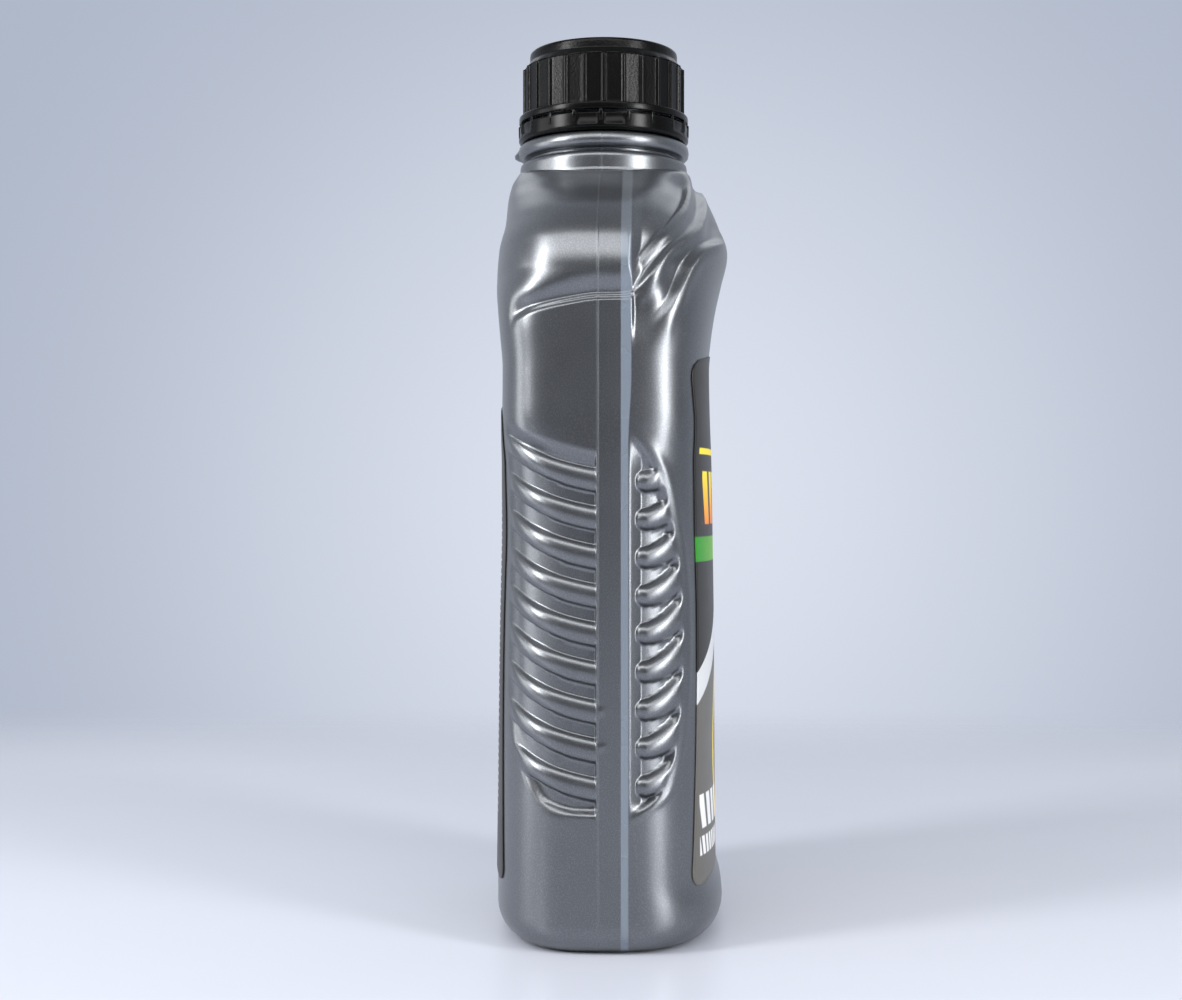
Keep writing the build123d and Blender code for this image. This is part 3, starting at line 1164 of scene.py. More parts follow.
@dataclass
class EndRelief:
    """Raised and sunk details on the narrow ends, as a function of place on the end."""

    back: BackPanel = field(default_factory=BackPanel)
    front: FrontPanel = field(default_factory=FrontPanel)
    folds: list[Fold] = field(default_factory=shoulder_folds)
    follow_back: Span = (30.0, 50.0)
    follow_front: Span = (29.0, 50.0)
    follow_reach: Span = (-31.0, 29.0)
    follow_bottom: Span = (12.0, 38.0)
    follow_top: Span = (127.0, 158.0)
    hollow: float = 1.3
    hollow_start: Span = (8.5, 9.8)
    hollow_stop: Span = (10.5, 19.0)
    hollow_bottom: Span = (154.0, 168.0)
    hollow_top: Span = (170.0, 176.0)
    flash: float = 0.13
    flash_width: float = 0.24
    vent: float = 0.35
    vent_radius: float = 0.67
    vent_offset: float = 0.9
    vent_heights: Span = (53.8, 63.0)

    def shift(self, across: np.ndarray, height: np.ndarray) -> np.ndarray:
        """How far the mesh's rows follow the ribs up.

        Args:
            across: Distance from the parting line, positive towards the front.
            height: Height of the row before it is moved.

        Returns:
            The rise in millimetres.
        """
        near = (1.0 - ramp(across, *self.follow_front)) * (1.0 - ramp(-across, *self.follow_back))
        kept = np.clip(across, *self.follow_reach)
        rise = (self.back.rise(-kept) + self.front.rise(kept)) * near
        return rise * plateau(height, self.follow_bottom, self.follow_top)

    def strip_side(self, across: np.ndarray, height: np.ndarray) -> np.ndarray:
        """Small hollow beside the view strip, just under the folds."""
        near = plateau(across, self.hollow_start, self.hollow_stop)
        return -self.hollow * near * plateau(height, self.hollow_bottom, self.hollow_top)

    def parting_line(self, across: np.ndarray, height: np.ndarray) -> np.ndarray:
        """Fine flash along the parting plane, with two vent marks beside it.

        Args:
            across: Distance from the parting line.
            height: Height on the bottle.

        Returns:
            The relief in millimetres.
        """
        total = self.flash * hump(across, 0.0, self.flash_width)
        for level in self.vent_heights:
            beside = np.hypot(across - self.vent_offset, height - level)
            total = total + self.vent * hump(beside, 0.0, self.vent_radius)
        return total

    def relief(self, across: np.ndarray, height: np.ndarray) -> np.ndarray:
        """All the relief of one end together; where folds meet, their depths don't add up.

        Args:
            across: Distance from the parting line, positive towards the front.
            height: Height on the bottle.

        Returns:
            The relief in millimetres.
        """
        total = self.back.relief(-across, height) + self.front.relief(across, height)
        total += self.strip_side(across, height) + self.parting_line(across, height)
        depths = np.stack([fold.relief(across, height) for fold in self.folds])
        sunk = np.cbrt((np.maximum(-depths, 0.0) ** 3).sum(axis=0))
        return total - sunk + np.maximum(depths, 0.0).max(axis=0)


@dataclass(frozen=True)
class Thread:
    """Two-start thread, which stands out from the neck and in from the cap."""

    start: float
    starts: int = 2
    lead: float = 8.0
    turns: float = 0.95
    depth: float = 1.3
    half_width: float = 1.0
    flank: float = 0.5

    def relief(self, angles: np.ndarray, height: np.ndarray) -> np.ndarray:
        """Height of the thread over the wall at points on a cylinder.

        Args:
            angles: Angle of each column.
            height: Height of each point.

        Returns:
            The relief in millimetres.
        """
        pitch = self.lead / self.starts
        turn = np.mod(angles, 2 * math.pi) / (2 * math.pi)
        offset = np.mod(height - self.start - self.lead * turn + pitch / 2, pitch) - pitch / 2
        centre = height - offset - self.start
        crest = np.clip((self.half_width - np.abs(offset)) / self.flank, 0.0, 1.0)
        return self.depth * crest * between(centre, 0.0, self.lead * self.turns, self.flank)


@dataclass
class NeckFinish:
    """Neck above the body: foot, support ring, tamper bead, thread and bore."""

    foot_top: float = 212.3
    groove_radius: float = 20.9
    ring_radius: float = 24.3
    ring_bottom: float = 213.7
    ring_top: float = 217.8
    bead_radius: float = 22.3
    bead_bottom: float = 220.6
    bead_top: float = 222.2
    wall_radius: float = 19.6
    mouth: float = 241.4
    bore_radius: float = 17.1
    bore_bottom: float = 218.8
    lug_reach: float = 1.2
    lug_rise: float = 1.2
    lug_half: float = 1.3
    lug_height: float = 1.25
    lug_root: Span = (22.0, 23.0)
    seam: float = 0.11
    seam_width: float = 0.28
    thread: Thread = Thread(229.0)

    def profile(self) -> list[tuple[float, float]]:
        """Closed profile of the neck.

        Returns:
            Its points, up the outside, over the mouth and down the bore.
        """
        foot, low, groove = NECK_RADIUS, BODY_TOP, self.groove_radius
        outside = [
            (foot - 1.6, low - 0.4, 0.0),
            (foot + 0.12, low - 0.4, 0.2),
            (foot + 0.12, low + 0.3, 0.15),
            (foot - 0.05, low + 1.0, 0.2),
            (foot, low + 3.6, 0.5),
            (foot - 0.1, self.foot_top, 1.2),
            (groove, self.foot_top + 0.2, 0.6),
            (groove, self.ring_bottom, 0.3),
            (self.ring_radius, self.ring_bottom, 1.7),
            (self.ring_radius, self.ring_top, 2.0),
            (groove, self.ring_top, 0.6),
            (groove, self.bead_bottom, 0.3),
            (self.bead_radius, self.bead_bottom, 0.4),
            (self.wall_radius, self.bead_top, 0.4),
            (self.wall_radius, self.bead_top + 1.0, 0.0),
        ]
        mouth = [
            (self.wall_radius, self.mouth - 1.1, 0.0),
            (self.wall_radius, self.mouth, 0.6),
            (self.bore_radius, self.mouth, 0.5),
            (self.bore_radius, self.mouth - 3.0, 0.0),
        ]
        bore = [
            (self.bore_radius, self.bore_bottom),
            (groove - 1.3, self.foot_top - 1.2),
            (foot - 1.6, low + 1.0),
        ]
        threaded = column_rows(self.wall_radius, self.bead_top + 1.4, self.mouth - 1.2, 0.4)
        return [*rounded(outside), *threaded, *rounded(mouth), *bore]

    def angles(self) -> np.ndarray:
        """Column angles, dense at the parting lines."""
        quarter = spread([(0, 0.16), (0.8, 0.2), (2.2, 0.9), (37.4, 0.9)], 37.4)
        half = np.concatenate([quarter, [1.0], 2.0 - quarter[:0:-1]])
        return math.pi / 2 * np.concatenate([half, half + 2.0])

    def build(self, plastic: bpy.types.Material) -> bpy.types.Object:
        """Build the neck with its thread, parting line and lug.

        Args:
            plastic: The body's material.

        Returns:
            The neck as one mesh object, which rides on the vessel.
        """
        angles = self.angles()
        grid = lathe(self.profile(), angles)
        x, y, radius = about_neck(grid)
        height = grid[:, :, 2]
        thread = self.thread.relief(angles, height)
        thread *= between(radius, self.wall_radius - 0.2, self.wall_radius + 0.2, 0.1)
        thread *= between(height, self.bead_top + 2.0, self.mouth - 1.5, 0.5)
        outside = ramp(radius, self.groove_radius - 0.4, self.groove_radius)
        seam = self.seam * hump(y, 0.0, self.seam_width) * outside * (height < self.ring_top)
        above = height - self.ring_bottom - self.lug_rise
        beside = (x / self.lug_half) ** 2 + (above / self.lug_height) ** 2
        lug = self.lug_reach * hump(beside, 0.0, 1.0) * (y > 0) * ramp(radius, *self.lug_root)
        grid = pushed_out(grid, thread + seam + lug)
        made = make_object("neck_finish", grid.reshape(-1, 3), skin(grid, ring=True))
        return dress(made, plastic, "bottle", "vessel")


@dataclass
class Bottle:
    """The blown body, one closed skin from its underside to the inside of its floor."""

    shape: BodyShape = field(default_factory=BodyShape)
    ends: EndRelief = field(default_factory=EndRelief)
    neck: NeckFinish = field(default_factory=NeckFinish)
    plastic: PearlPlastic = field(default_factory=PearlPlastic)
    wall: float = 3.0
    standing_ring: float = 7.0
    push_up: float = 3.0
    saddle_rise: float = 2.8
    saddle_drop: float = 16.0
    saddle_step: float = 0.25
    fill_inset: float = 3.6
    fill_top: float = 196.6
    level_count: int = 360
    front_run: float = 76.0
    back_run: float = 72.0
    rib_rows: tuple[Span, ...] = (
        (-7.0, 0.85), (-6.2, 0.36), (-4.5, 0.36), (-3.8, 0.95),
        (-2.1, 0.95), (-1.3, 0.32), (0.4, 0.32),
    )

    def columns(self) -> tuple[np.ndarray, np.ndarray]:
        """Where the columns lie, dense at the parting line, the beads and the panel's far wall.

        Returns:
            Shares of a front quarter, and of a back quarter.
        """
        front = [(0, 0.15), (0.8, 0.2), (1.5, 0.9), (5, 0.9), (6.5, 0.42), (11, 0.4), (14, 0.48)]
        front += [(26, 0.48), (30, 0.8), (40, 1.2), (52, 2.8), (self.front_run, 4.2)]
        back = [(0, 0.15), (0.9, 0.2), (1.8, 1.0), (24, 1.0), (26, 0.7), (31, 0.7), (38, 2.4)]
        back += [(self.back_run, 4.0)]
        return spread(front, self.front_run), spread(back, self.back_run)

    def rows(self) -> np.ndarray:
        """Where the rows lie, dense at the edges of ribs and folds.

        Returns:
            Heights above the foot's rounding.
        """
        stops = [(8.0, 1.3), (13.0, 2.2), (32.0, 2.2), (35.0, 0.7), (38.0, 0.7)]
        for index in range(self.ends.back.rib_count):
            edge = self.ends.back.first_edge + index * self.ends.back.pitch
            stops += [(edge + offset, wide) for offset, wide in self.rib_rows]
        stops += [(127.0, 0.8), (131.0, 0.9), (138.0, 1.8), (156.0, 1.8), (161.0, 0.8)]
        stops += [(166.0, 0.55), (168.3, 0.3), (171.0, 0.3), (173.0, 0.6), (203.0, 0.65)]
        start, end = self.shape.foot_rounding, BODY_TOP
        shifted = [(place - start, wide) for place, wide in [*stops, (end, 0.9)]]
        return start + np.append(spread(shifted, end - start), 1.0) * (end - start)

    def underside(self, front: np.ndarray, back: np.ndarray) -> np.ndarray:
        """Rows of the hollow underside, from its middle out to the standing ring.

        Args:
            front: Shares of a front quarter where its columns lie.
            back: Shares of a back quarter where its columns lie.

        Returns:
            Rows by columns by 3 coordinates.
        """
        ring, up = self.standing_ring, self.push_up
        inset = ring + up
        steps = [(0.1, inset, up), (0.5, inset, up), (0.9, inset, up), (1.0, inset, up - 0.15)]
        steps += [(1.0, inset - 1.0, up - 0.9), (1.0, ring + 0.6, 0.35), (1.0, ring, 0.02)]
        share, less, heights = np.array(steps).T
        sizes = np.repeat(self.shape.foot(1)[1], len(steps), axis=0)
        sizes[:, :3] = (sizes[:, :3] - less[:, None]) * share[:, None]
        return self.shape.grid(heights, sizes, front, back)[0]

    def inside(self, inset: float, top: float, steps: int) -> tuple[np.ndarray, np.ndarray]:
        """Heights and sizes of an inner surface, from the top down to the floor.

        Args:
            inset: Distance from the outer face.
            top: Height of the topmost row.
            steps: Number of rows above the foot.

        Returns:
            Heights, and heights by 4 numbers.
        """
        high = np.linspace(top, self.shape.foot_rounding, steps)
        raised = high + 0.6 * inset * ramp(high, 185.0, 190.0)
        sizes = self.shape.at(raised, -inset)
        low, foot = self.shape.foot(5, -inset)
        keep = low > self.push_up + inset - 1.0
        return np.concatenate([high, low[keep][::-1]]), np.concatenate([sizes, foot[keep][::-1]])

    def outer(self, front: np.ndarray, back: np.ndarray) -> np.ndarray:
        """Rows of the outer face with all its relief, from the standing plane to the neck.

        Args:
            front: Shares of a front quarter where its columns lie.
            back: Shares of a back quarter where its columns lie.

        Returns:
            Rows by columns by 3 coordinates.
        """
        start, end = self.shape.foot_rounding, BODY_TOP
        level = np.linspace(start, end, self.level_count)
        grid, across = self.shape.grid(level, self.shape.at(level), front, back)
        rows = self.rows()[:, None]
        wanted = rows + self.ends.shift(across[len(level) // 2][None, :], rows)
        grid, across = sheared(grid, across, level, wanted)
        heights, sizes = self.shape.foot(9)
        foot, beside = self.shape.grid(heights, sizes, front, back)
        grid, across = np.concatenate([foot, grid]), np.concatenate([beside, across])
        height = grid[:, :, 2]
        relief = self.ends.relief(across, height)
        relief *= (1.0 - ramp(height, 203.5, end)) * ramp(height, 0.5, 3.0)
        grid = grid + normals_of(grid) * relief[:, :, None]
        return self.saddled(grid)

    def saddled(self, grid: np.ndarray) -> np.ndarray:
        """Lift the top of the body beside the neck, where its wide faces run up higher.

        Args:
            grid: Rows by columns by 3 coordinates.

        Returns:
            The moved points.
        """
        x, y, radius = about_neck(grid)
        share = ramp(grid[:, :, 2], BODY_TOP - self.saddle_drop, BODY_TOP)
        share = share * y**2 / np.maximum(radius**2, 1.0)
        out = self.saddle_step / NECK_RADIUS
        move = np.stack([out * x, out * y, np.full(x.shape, self.saddle_rise)], axis=2)
        return grid + move * share[:, :, None]

    def build(self) -> list[bpy.types.Object]:
        """Build the bottle.

        Returns:
            The body and the neck, which ride on the vessel.
        """
        front, back = self.columns()
        high, inner = self.inside(self.wall, BODY_TOP - 0.3, 12)
        interior, _ = self.shape.grid(high, inner, front, back)
        grid = np.concatenate([self.underside(front, back), self.outer(front, back), interior])
        made = make_object("blown_body", grid.reshape(-1, 3), skin(grid))
        plastic = self.plastic.material()
        dress(made, plastic, "bottle", "vessel")
        return [made, self.neck.build(plastic)]

    def fill(self) -> bpy.types.Object:
        """Build the oil inside the bottle.

        Returns:
            The oil as one mesh object, which rides on the vessel.
        """
        shares = spread([(0, 1.6), (self.front_run, 2.4)], self.front_run)
        high, sizes = self.inside(self.fill_inset, self.fill_top, 26)
        body, _ = self.shape.grid(high[::-1], sizes[::-1], shares, shares)
        made = make_object("oil_fill", body.reshape(-1, 3), skin(body))
        return dress(made, EngineOil().material(), "oil", "vessel")


# --- Closure -----------------------------------------------------------------------------------


@dataclass
class Closure:
    """Ribbed screw cap, its liner and the tamper band below it."""

    bottom: float = 223.8
    flange_top: float = 225.8
    flange_radius: float = 24.1
    flange_bore: float = 22.5
    land_radius: float = 22.55
    shoulder_bottom: float = 239.5
    shoulder_top: float = 241.2
    top_radius: float = 21.0
    top: float = 244.1
    roof: float = 242.6
    seat_radius: float = 20.0
    bore_radius: float = 21.3
    middle_radius: float = 0.5
    rib_count: int = 26
    rib_reach: float = 0.55
    rib_half: Span = (0.42, 0.66)
    rib_first: float = -95.0
    rib_shares: tuple[float, ...] = (0.28, 0.42, 0.58, 0.72)
    rib_offsets: tuple[float, ...] = (0.3, 0.48, 0.62, 0.85)
    band_bottom: float = 218.1
    band_top: float = 222.8
    band_radius: float = 24.2
    band_bore: float = 22.9
    flap_bore: float = 21.5
    flap_height: float = 1.0
    band_columns: int = 360
    window_depth: float = 0.3
    bridge_count: int = 20
    bridge_corners: int = 16
    bridge_power: float = 0.4
    thread: Thread = Thread(227.0)
    plastic: MouldedPlastic = field(default_factory=MouldedPlastic)

    def cap_angles(self) -> np.ndarray:
        """Where the cap's columns lie, dense at the ribs' edges.

        Returns:
            The columns' angles.
        """
        step = 2 * math.pi / self.rib_count
        half = np.array(self.rib_offsets) / self.land_radius
        one = np.concatenate([-half[::-1], [0.0], half, step * np.array(self.rib_shares)])
        first = math.radians(self.rib_first)
        return np.concatenate([first + index * step + one for index in range(self.rib_count)])

    def cap_profile(self) -> list[Span]:
        """Profile of the cap.

        Returns:
            Its points, over the top, down the grip, and up the bore to the roof.
        """
        low, high = self.flange_top, self.shoulder_bottom
        outer = [
            (self.middle_radius, self.top - 0.1, 0.0),
            (self.top_radius - 3.0, self.top - 0.1, 0.4),
            (self.top_radius - 2.0, self.top, 0.4),
            (self.top_radius, self.top, 0.9),
            (self.top_radius, self.shoulder_top, 0.35),
            (self.land_radius, high, 0.3),
            (self.land_radius, high - 0.1, 0.0),
        ]
        flange = [
            (self.land_radius, low + 1.0, 0.0),
            (self.land_radius, low, 0.3),
            (self.flange_radius, low - 0.1, 0.4),
            (self.flange_radius, self.bottom, 0.3),
            (self.flange_bore, self.bottom, 0.2),
            (self.flange_bore, low, 0.2),
            (self.bore_radius, low + 0.7, 0.2),
            (self.bore_radius, low + 1.0, 0.0),
        ]
        seat = [
            (self.bore_radius, high - 1.6, 0.0),
            (self.bore_radius, high - 1.3, 0.1),
            (self.seat_radius, high, 0.2),
            (self.seat_radius, self.roof, 0.2),
            (self.middle_radius, self.roof, 0.0),
        ]
        rib_ends = column_rows(self.land_radius, high - 1.5, high - 0.1, 0.2)
        grip = [(self.land_radius, float(z)) for z in np.linspace(low + 1.0, high - 1.8, 9)]
        bore = column_rows(self.bore_radius, low + 1.0, high - 1.6, 0.45)
        down = [*reversed(rib_ends), *reversed(grip[1:])]
        return [*rounded(outer)[:-1], *down, *rounded(flange), *bore[1:], *rounded(seat)[1:]]

    def cap_relief(self, grid: np.ndarray, angles: np.ndarray) -> np.ndarray:
        """Relief of the grip ribs, the flat lands between them and the inner thread.

        Args:
            grid: Rows by columns by 3 coordinates.
            angles: Angle of each column.

        Returns:
            How far each point moves away from the axis.
        """
        height = grid[:, :, 2]
        _, _, radius = about_neck(grid)
        step = 2 * math.pi / self.rib_count
        turn = (angles - math.radians(self.rib_first)) / step
        off = (turn - np.round(turn)) * step * self.land_radius
        over = np.maximum(height - (self.shoulder_bottom - 0.7), 0.0)
        grip = between(radius, self.land_radius - 0.05, self.land_radius + 0.05, 0.3)
        grip *= between(height, self.flange_top - 0.2, self.shoulder_bottom + 0.4, 0.3)
        rib = self.rib_reach * (1.0 - ramp(np.hypot(off, over), *self.rib_half))
        middle = (turn - np.floor(turn) - 0.5) * step
        flat = self.land_radius * (math.cos(step / 2) / np.cos(middle) - 1.0)
        inner = between(radius, self.bore_radius - 0.05, self.bore_radius + 0.05, 0.05)
        inner *= between(height, self.flange_top + 0.9, self.shoulder_bottom - 2.5, 0.3)
        return (rib + flat) * grip - self.thread.relief(angles, height) * inner

    def cap(self) -> bpy.types.Object:
        """Build the cap.

        Returns:
            The cap as one closed mesh, which rides on the closure.
        """
        angles = self.cap_angles()
        grid = lathe(self.cap_profile(), angles)
        grid = pushed_out(grid, self.cap_relief(grid, angles))[::-1]
        made = make_object("screw_cap", grid.reshape(-1, 3), skin(grid))
        return dress(made, self.plastic.material(), "cap", "closure")

    def band_ring(self) -> np.ndarray:
        """Shape the band's ring, with shallow windows between some of its bridges.

        Returns:
            Rows by columns by 3 coordinates.
        """
        low, flap = self.band_bottom, self.band_bottom + self.flap_height
        profile = [
            (self.flap_bore, low + 0.5, 0.0),
            (self.flap_bore, low, 0.2),
            (self.band_radius - 0.8, low, 0.3),
            (self.band_radius, low + 0.8, 0.3),
            (self.band_radius, low + 1.6, 0.0),
            (self.band_radius, low + 1.9, 0.0),
            (self.band_radius, self.band_top - 0.6, 0.0),
            (self.band_radius, self.band_top, 0.25),
            (self.band_bore, self.band_top, 0.2),
            (self.band_bore, flap, 0.2),
            (self.flap_bore, flap, 0.2),
            (self.flap_bore, low + 0.6, 0.0),
        ]
        angles = np.linspace(0.0, 2 * math.pi, self.band_columns, endpoint=False)
        grid = lathe(rounded(profile), angles)
        turn = angles / (2 * math.pi / self.bridge_count)
        sector = np.floor(turn).astype(int) % 4
        window = between(turn - np.floor(turn), 0.16, 0.84, 0.03) * np.isin(sector, (1, 2))
        outside = about_neck(grid)[2] > self.band_radius - 0.4
        sunk = self.window_depth * window * (grid[:, :, 2] > low + 1.7) * outside
        return pushed_out(grid, -sunk)

    def bridge(self, angle: float) -> np.ndarray:
        """Rows of one small bridge, a tapered post against the band with a rounded top.

        Args:
            angle: Where it stands round the neck.

        Returns:
            Rows by columns by 3 coordinates, from its foot up.
        """
        turns = np.linspace(0.0, 2 * math.pi, self.bridge_corners, endpoint=False)[::-1]
        corners = np.array([np.cos(turns), np.sin(turns)])
        wide, deep = np.sign(corners) * abs(corners) ** self.bridge_power
        rows = []
        for above, half_width, half_depth in (
            (-2.6, 0.2, 0.1), (-2.4, 0.5, 0.3), (-0.1, 0.55, 0.34), (0.7, 0.45, 0.34),
            (0.92, 0.3, 0.2),
        ):
            across = half_width * wide
            radius = self.band_radius - 0.2 + half_depth * deep
            x = radius * math.cos(angle) - across * math.sin(angle)
            y = AXIS_Y + radius * math.sin(angle) + across * math.cos(angle)
            rows.append(np.stack([x, y, np.full(len(turns), self.band_top + above)], axis=1))
        return np.array(rows)

    def band(self) -> bpy.types.Object:
        """Build the tamper band with its bridges.

        Returns:
            The band as one mesh object, which rides on the vessel.
        """
        ring = self.band_ring()
        points, faces = [ring.reshape(-1, 3)], skin(ring, ring=True)
        for index in range(self.bridge_count):
            post = self.bridge(index * 2 * math.pi / self.bridge_count)
            faces += skin(post, first=sum(len(part) for part in points))
            points.append(post.reshape(-1, 3))
        made = make_object("torn_band", np.concatenate(points), faces)
        return dress(made, self.plastic.material(), "tamper_band", "vessel")

    def liner(self) -> bpy.types.Object:
        """Dress the sealing disc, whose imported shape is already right.

        Returns:
            The disc.
        """
        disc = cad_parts["cap_liner"]
        disc.data.materials.clear()
        disc.data.materials.append(LinerFoam().material())
        return disc


# --- Labels ------------------------------------------------------------------------------------


@dataclass
class Label:
    """Printed film on one wide face, arched at its top and waisted at its sides."""

    side: LabelSide
    top: float
    half_width: float
    bottom: float = 15.0
    waist_inset: float = 3.5
    arch: float = 4.0
    foot_arch: float = 3.5
    corner: float = 5.0
    top_flare: float = 1.4
    gap: float = 0.1
    thickness: float = 0.2
    columns: int = 90
    rows: int = 130
    shape: BodyShape = field(default_factory=BodyShape)
    film: PrintedFilm = field(default_factory=PrintedFilm)

    def face(self, grow: float) -> np.ndarray:
        """Points of the film's face.

        Args:
            grow: Distance off the body's smooth form.

        Returns:
            Rows by columns by 3 coordinates.
        """
        up = np.linspace(0.0, 1.0, self.rows)[:, None]
        over = np.linspace(-1.0, 1.0, self.columns)[None, :]
        waist = self.half_width - self.waist_inset * (1.0 - (2 * up - 1.0) ** 2)
        waist = waist + self.top_flare * up**4
        height = self.top - self.bottom
        for share in (up, 1.0 - up):
            into_corner = 1.0 - np.minimum(share * height / self.corner, 1.0)
            waist = waist - self.corner * (1.0 - np.sqrt(1.0 - into_corner**2))
        x = over * waist
        aside = (x / self.half_width) ** 2
        lower = self.bottom + self.foot_arch * (1.0 - aside)
        z = lower + up * (self.top - self.arch * aside - lower)
        front = self.side is LabelSide.FRONT
        length, ahead, behind, squareness = self.shape.at(z.ravel(), grow).T.reshape(4, *z.shape)
        depth = ahead if front else behind
        share = np.clip(np.abs(x) / length, 0.0, 1.0)
        power = self.shape.corner_power(squareness, front)
        y = depth * (1.0 - share**power) ** (1 / power)
        return np.stack([x, AXIS_Y + self.side.value * y, z], axis=2)

    def build(self) -> bpy.types.Object:
        """Build the label.

        Returns:
            The film as one thin closed mesh, which rides on the vessel.
        """
        near, far = self.face(self.gap), self.face(self.gap + self.thickness)
        rows, columns = self.rows, self.columns
        count = rows * columns
        faces: Faces = []
        for row in range(rows - 1):
            for column in range(columns - 1):
                first = row * columns + column
                quad = (first, first + 1, first + columns + 1, first + columns)
                faces.append(quad[::-1])
                faces.append(tuple(index + count for index in quad))
        edge = list(range(columns))
        edge += [row * columns + columns - 1 for row in range(1, rows)]
        edge += [(rows - 1) * columns + column for column in reversed(range(columns - 1))]
        edge += [row * columns for row in reversed(range(1, rows - 1))]
        for here, after in zip(edge, edge[1:] + edge[:1]):
            faces.append((here, after, after + count, here + count))
        if self.side is LabelSide.BACK:
            faces = [quad[::-1] for quad in faces]
        name = f"{self.side.name.lower()}_label"
        points = np.concatenate([near.reshape(-1, 3), far.reshape(-1, 3)])
        made = make_object(f"{name}_film", points, faces)
        return dress(made, self.film.material(self.side), name, "vessel")


# --- Studio ------------------------------------------------------------------------------------


@dataclass(frozen=True)
class SoftBox:
    """Rectangular soft light aimed at the bottle's middle, placed and sized in metres."""

    name: str
    place: tuple[float, float, float]
    size: Span
    power: float
    aim: tuple[float, float, float] = (0.0, 0.0, 0.12)

    def build(self) -> None:
        """Make the light, hidden from the camera itself."""
        lamp = bpy.data.lights.new(self.name, "AREA")
        lamp.shape = "RECTANGLE"
        lamp.size, lamp.size_y = self.size
        lamp.energy = self.power
        made = bpy.data.objects.new(self.name, lamp)
        made.location = self.place
        x, y, z = (goal - here for goal, here in zip(self.aim, self.place))
        pitch = math.atan2(z, math.hypot(x, y))
        made.rotation_euler = (math.pi / 2 + pitch, 0.0, math.atan2(y, x) - math.pi / 2)
        made.visible_camera = False
        bpy.context.scene.collection.objects.link(made)


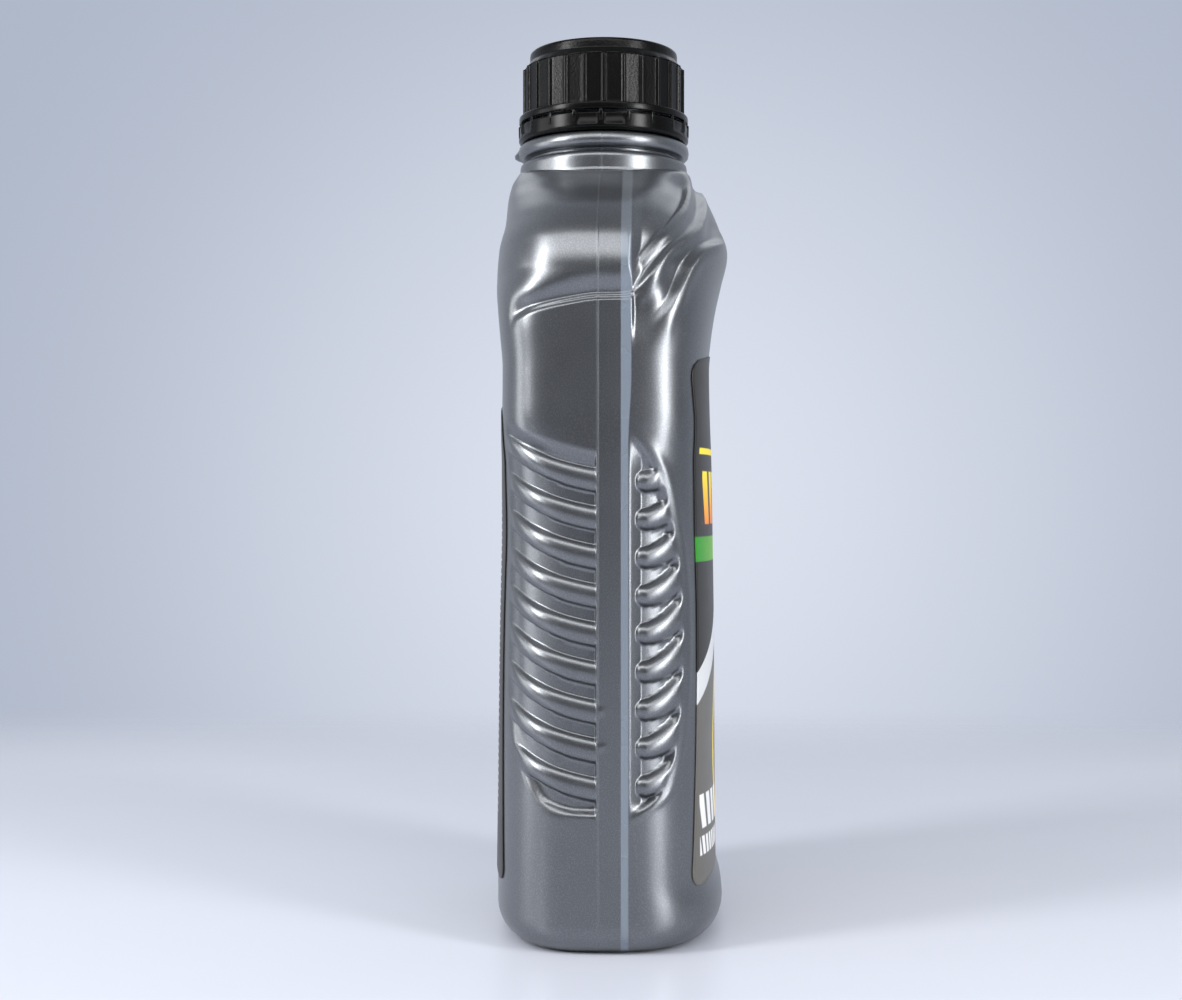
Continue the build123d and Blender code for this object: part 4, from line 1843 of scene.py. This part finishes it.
@dataclass
class Studio:
    """Pale floor that melts into a pale backdrop, soft boxes and the camera."""

    lens: float = 53.45
    sensor: float = 36.0
    clip: Span = (0.01, 30.0)
    distance: float = 0.502
    aside: float = -0.0120
    eye: float = 0.1169
    yaw: float = 2.1
    glow: Colour = (0.72, 0.76, 0.86, 1.0)
    edge: Colour = (0.43, 0.48, 0.585, 1.0)
    glow_radius: float = 0.44
    floor_tone: Colour = (0.62, 0.64, 0.715, 1.0)
    floor_radius: float = 2500.0
    floor_corners: int = 96
    cloud_size: float = 60.0
    fade: float = 371.0
    fade_length: float = 260.0
    rim: float = 1900.0
    rim_length: float = 800.0
    room_front: Colour = (0.03, 0.032, 0.036, 1.0)
    room_back: Colour = (0.54, 0.58, 0.66, 1.0)
    boxes: tuple[SoftBox, ...] = (
        SoftBox("right box", (-0.62, -0.74, 0.22), (0.24, 0.46), 3.8),
        SoftBox("right top box", (-0.60, -0.72, 0.45), (0.2, 0.24), 2.6),
        SoftBox("left box", (-0.10, 0.85, 0.22), (0.34, 0.46), 1.6),
        SoftBox("left top box", (-0.48, 0.78, 0.45), (0.22, 0.24), 4.2),
        SoftBox("left high box", (-0.40, 0.70, 0.70), (0.22, 0.26), 2.2),
        SoftBox("right high box", (-0.45, -0.66, 0.70), (0.22, 0.26), 1.8),
        SoftBox("overhead box", (-0.71, 0.15, 0.88), (1.7, 0.42), 8.5),
        SoftBox("back box", (0.9, 0.0, 0.9), (1.2, 0.5), 1.5),
    )

    def floor(self) -> None:
        """Make the floor disc, which fades out into the backdrop far away."""
        turn = np.linspace(0.0, 2 * math.pi, self.floor_corners, endpoint=False)
        around = [np.cos(turn), np.sin(turn), 0 * turn]
        points = self.floor_radius * np.stack(around, axis=1)
        made = make_object("floor", points, [tuple(range(self.floor_corners))])
        shader = Shader.material("floor paper")
        vector, x, y, _ = shader.place()
        cloud = shader.noise(vector, self.cloud_size, 3.0)
        paper = shader.principled(
            {
                "Base Color": shader.blend(cloud * 0.1, self.floor_tone, self.edge),
                "Roughness": 0.3 + cloud * 0.1,
                "Specular IOR Level": 0.4,
            }
        )
        far = (x * x + y * y).math("SQRT").above(self.rim, self.rim_length)
        away = x.above(self.fade, self.fade_length).largest(far)
        clear = shader.node("ShaderNodeBsdfTransparent", {}, {})
        both = shader.node("ShaderNodeMixShader", {}, {0: away, 1: paper, 2: clear})
        made.data.materials.append(shader.end(both))

    def world(self) -> None:
        """Set the surroundings: a glowing backdrop, and a room for reflections."""
        world = bpy.data.worlds.new("studio")
        bpy.context.scene.world = world
        shader = Shader(world)
        look = shader.node("ShaderNodeTexCoord", {}, {}, "Generated")
        along = shader.node("ShaderNodeSeparateXYZ", {}, {0: look}, "X")
        aside = (1 - along * along).math("SQRT")
        glow = 1 - aside.above(self.glow_radius / 2, self.glow_radius)
        seen = shader.blend(glow, self.edge, self.glow)
        room = shader.blend(along.above(0.1, 1.0), self.room_front, self.room_back)
        path = shader.node("ShaderNodeLightPath", {}, {}, "Is Camera Ray")
        colour = shader.blend(path, room, seen)
        surface = shader.node("ShaderNodeBackground", {}, {"Color": colour, "Strength": 1.0})
        shader.end(surface, "ShaderNodeOutputWorld")

    def camera(self) -> None:
        """Make the level camera that looks at the bottle's narrow end."""
        lens = bpy.data.cameras.new("camera")
        lens.sensor_width = self.sensor
        lens.lens = self.lens
        lens.clip_start, lens.clip_end = self.clip
        made = bpy.data.objects.new("camera", lens)
        made.location = (-self.distance, self.aside, self.eye)
        made.rotation_euler = (math.pi / 2, 0.0, math.radians(self.yaw - 90.0))
        bpy.context.scene.collection.objects.link(made)
        bpy.context.scene.camera = made

    def build(self) -> None:
        """Make the whole set."""
        bpy.context.scene.view_settings.view_transform = "Standard"
        self.floor()
        self.world()
        self.camera()
        for box in self.boxes:
            box.build()


def main() -> None:
    """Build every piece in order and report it."""
    logging.basicConfig(level=logging.INFO)
    Studio().build()
    bottle = Bottle()
    closure = Closure()
    made = [
        *bottle.build(),
        bottle.fill(),
        closure.cap(),
        closure.band(),
        closure.liner(),
        Label(LabelSide.FRONT, top=157.0, half_width=45.2).build(),
        Label(LabelSide.BACK, top=144.0, half_width=38.7).build(),
    ]
    for piece in made:
        LOG.info("%s: %d faces", piece.name, len(piece.data.polygons))


if __name__ == "__main__":
    main()
